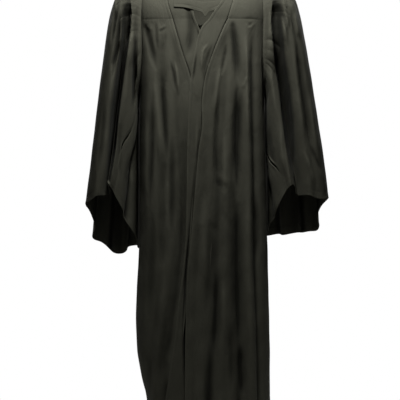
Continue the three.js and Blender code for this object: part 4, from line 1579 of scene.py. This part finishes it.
class GOWN_OT_stitching(bpy.types.Operator):
    """Makes the rows of stitches along the hems, the yoke's lower seams and the facings"""

    bl_idname = "gown.stitching"
    bl_label = "Stitching"

    def execute(self, context):
        sizes = context.scene.gown_sizes
        hem = sizes.hem_width * 1000
        panels = (
            "back", "front_left", "front_right", "sleeve_upper_left", "sleeve_upper_right",
            "sleeve_under_left", "sleeve_under_right",
        )
        yokes = ("yoke_back", "yoke_front_left", "yoke_front_right")
        runs = {
            "hem_stitches": [(node, "bottom", hem) for node in panels],
            "yoke_stitches": [(node, "bottom", YOKE_STITCHES_AT) for node in yokes],
            "facing_stitches": [
                (f"facing_{word}", inner, FACING_STITCHES_AT) for _, word, inner, _ in SIDES
            ],
        }
        for name, lines in runs.items():
            verts, faces = stitch_row(
                [line_at(f"{node}_cloth", edge, distance) for node, edge, distance in lines],
                sizes.stitch_pitch * 1000, sizes.stitch_length * 1000, sizes.thread_radius * 1000,
            )
            mesh = bpy.data.meshes.new(name)
            mesh.from_pydata((verts / 1000).tolist(), [], faces)
            mesh.uv_layers.new(name="UVMap")
            obj = bpy.data.objects.new(name, mesh)
            context.collection.objects.link(obj)
            mesh.materials.append(cloth_material("sewing_thread"))
            select_only(obj)
            bpy.ops.object.shade_smooth()
            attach(obj, "root")
        return {"FINISHED"}


class GOWN_OT_stage(bpy.types.Operator):
    """Makes the floor, the soft lights and the camera"""

    bl_idname = "gown.stage"
    bl_label = "Stage"

    def execute(self, context):
        stage = context.scene.gown_stage
        bpy.ops.object.select_all(action="DESELECT")
        height = HEM_Z / 1000 - stage.floor_drop
        bpy.ops.mesh.primitive_circle_add(
            vertices=128, radius=1.5, fill_type="NGON", location=(0, 0, height)
        )
        floor = context.object
        floor.name = "floor"
        bpy.ops.object.transform_apply(location=True)
        floor.data.materials.append(floor_material(stage.floor_color))
        lights = (
            ("key", (0.0, -0.5, 0.76), (0, -0.1, -0.3), 0.16, 80, stage.key_power),
            ("front", (0.3, -3.2, 0.4), (0, 0, -0.7), 1.0, 70, stage.front_power),
            ("behind_left", (1.3, 1.9, 0.9), (0.05, 0.1, -0.55), 1.2, 80, stage.back_power),
            ("behind_right", (-1.3, 1.9, 0.9), (-0.05, 0.1, -0.55), 1.2, 80, stage.back_power),
        )
        for name, place, target, size, spread, power in lights:
            bpy.ops.object.light_add(type="AREA", location=place)
            light = context.object
            light.name = name
            light.data.size = size
            light.data.spread = math.radians(spread)
            light.data.energy = power
            way = np.array(target) - np.array(place)
            level = math.hypot(way[0], way[1])
            light.rotation_euler = (math.atan2(level, -way[2]), 0, math.atan2(-way[0], way[1]))
        world = context.scene.world or bpy.data.worlds.new("studio")
        context.scene.world = world
        world.use_nodes = True
        tree = world.node_tree
        tree.nodes.clear()
        path = tree.nodes.new("ShaderNodeLightPath").outputs["Is Camera Ray"]
        dim, white = (
            add(tree, "ShaderNodeBackground", {"Color": (1, 1, 1, 1), "Strength": light}).outputs[0]
            for light in (stage.sky_light, 1.0)
        )
        mixed = add(tree, "ShaderNodeMixShader", {0: path, 1: dim, 2: white})
        add(tree, "ShaderNodeOutputWorld", {"Surface": mixed.outputs[0]})
        context.scene.view_settings.view_transform = "Standard"
        bpy.ops.object.camera_add(location=(-0.015, -4.1, -0.672), rotation=(math.pi / 2, 0, 0))
        camera = context.object
        camera.name = "camera"
        camera.data.sensor_width = 36
        camera.data.lens = 120
        context.scene.camera = camera
        return {"FINISHED"}


class GOWN_PT_panel(bpy.types.Panel):
    """The gown's sizes, colours and pieces"""

    bl_idname = "GOWN_PT_panel"
    bl_label = "Graduation Gown"
    bl_space_type = "VIEW_3D"
    bl_region_type = "UI"
    bl_category = "Gown"

    def draw(self, context):
        scene = context.scene
        for heading, group in (
            ("Sizes", scene.gown_sizes),
            ("Colors", scene.gown_looks),
            ("Stage", scene.gown_stage),
        ):
            box = self.layout.box()
            box.label(text=heading)
            for name in group.__annotations__:
                box.prop(group, name)
        for operator in OPERATORS:
            self.layout.operator(operator.bl_idname)


OPERATORS = (
    GOWN_OT_yoke,
    GOWN_OT_back,
    GOWN_OT_fronts,
    GOWN_OT_facings,
    GOWN_OT_sleeves,
    GOWN_OT_neck_strap,
    GOWN_OT_stitching,
    GOWN_OT_stage,
)
CLASSES = (GownSizes, GownLooks, StageSettings, *OPERATORS, GOWN_PT_panel)


def register():
    for each in CLASSES:
        bpy.utils.register_class(each)
    bpy.types.Scene.gown_sizes = bpy.props.PointerProperty(type=GownSizes)
    bpy.types.Scene.gown_looks = bpy.props.PointerProperty(type=GownLooks)
    bpy.types.Scene.gown_stage = bpy.props.PointerProperty(type=StageSettings)


def unregister():
    del bpy.types.Scene.gown_stage
    del bpy.types.Scene.gown_looks
    del bpy.types.Scene.gown_sizes
    for each in reversed(CLASSES):
        bpy.utils.unregister_class(each)


def main():
    register()
    bpy.ops.gown.yoke()
    bpy.ops.gown.back()
    bpy.ops.gown.fronts()
    bpy.ops.gown.facings()
    bpy.ops.gown.sleeves()
    bpy.ops.gown.neck_strap()
    bpy.ops.gown.stitching()
    bpy.ops.gown.stage()


if __name__ == "__main__":
    main()
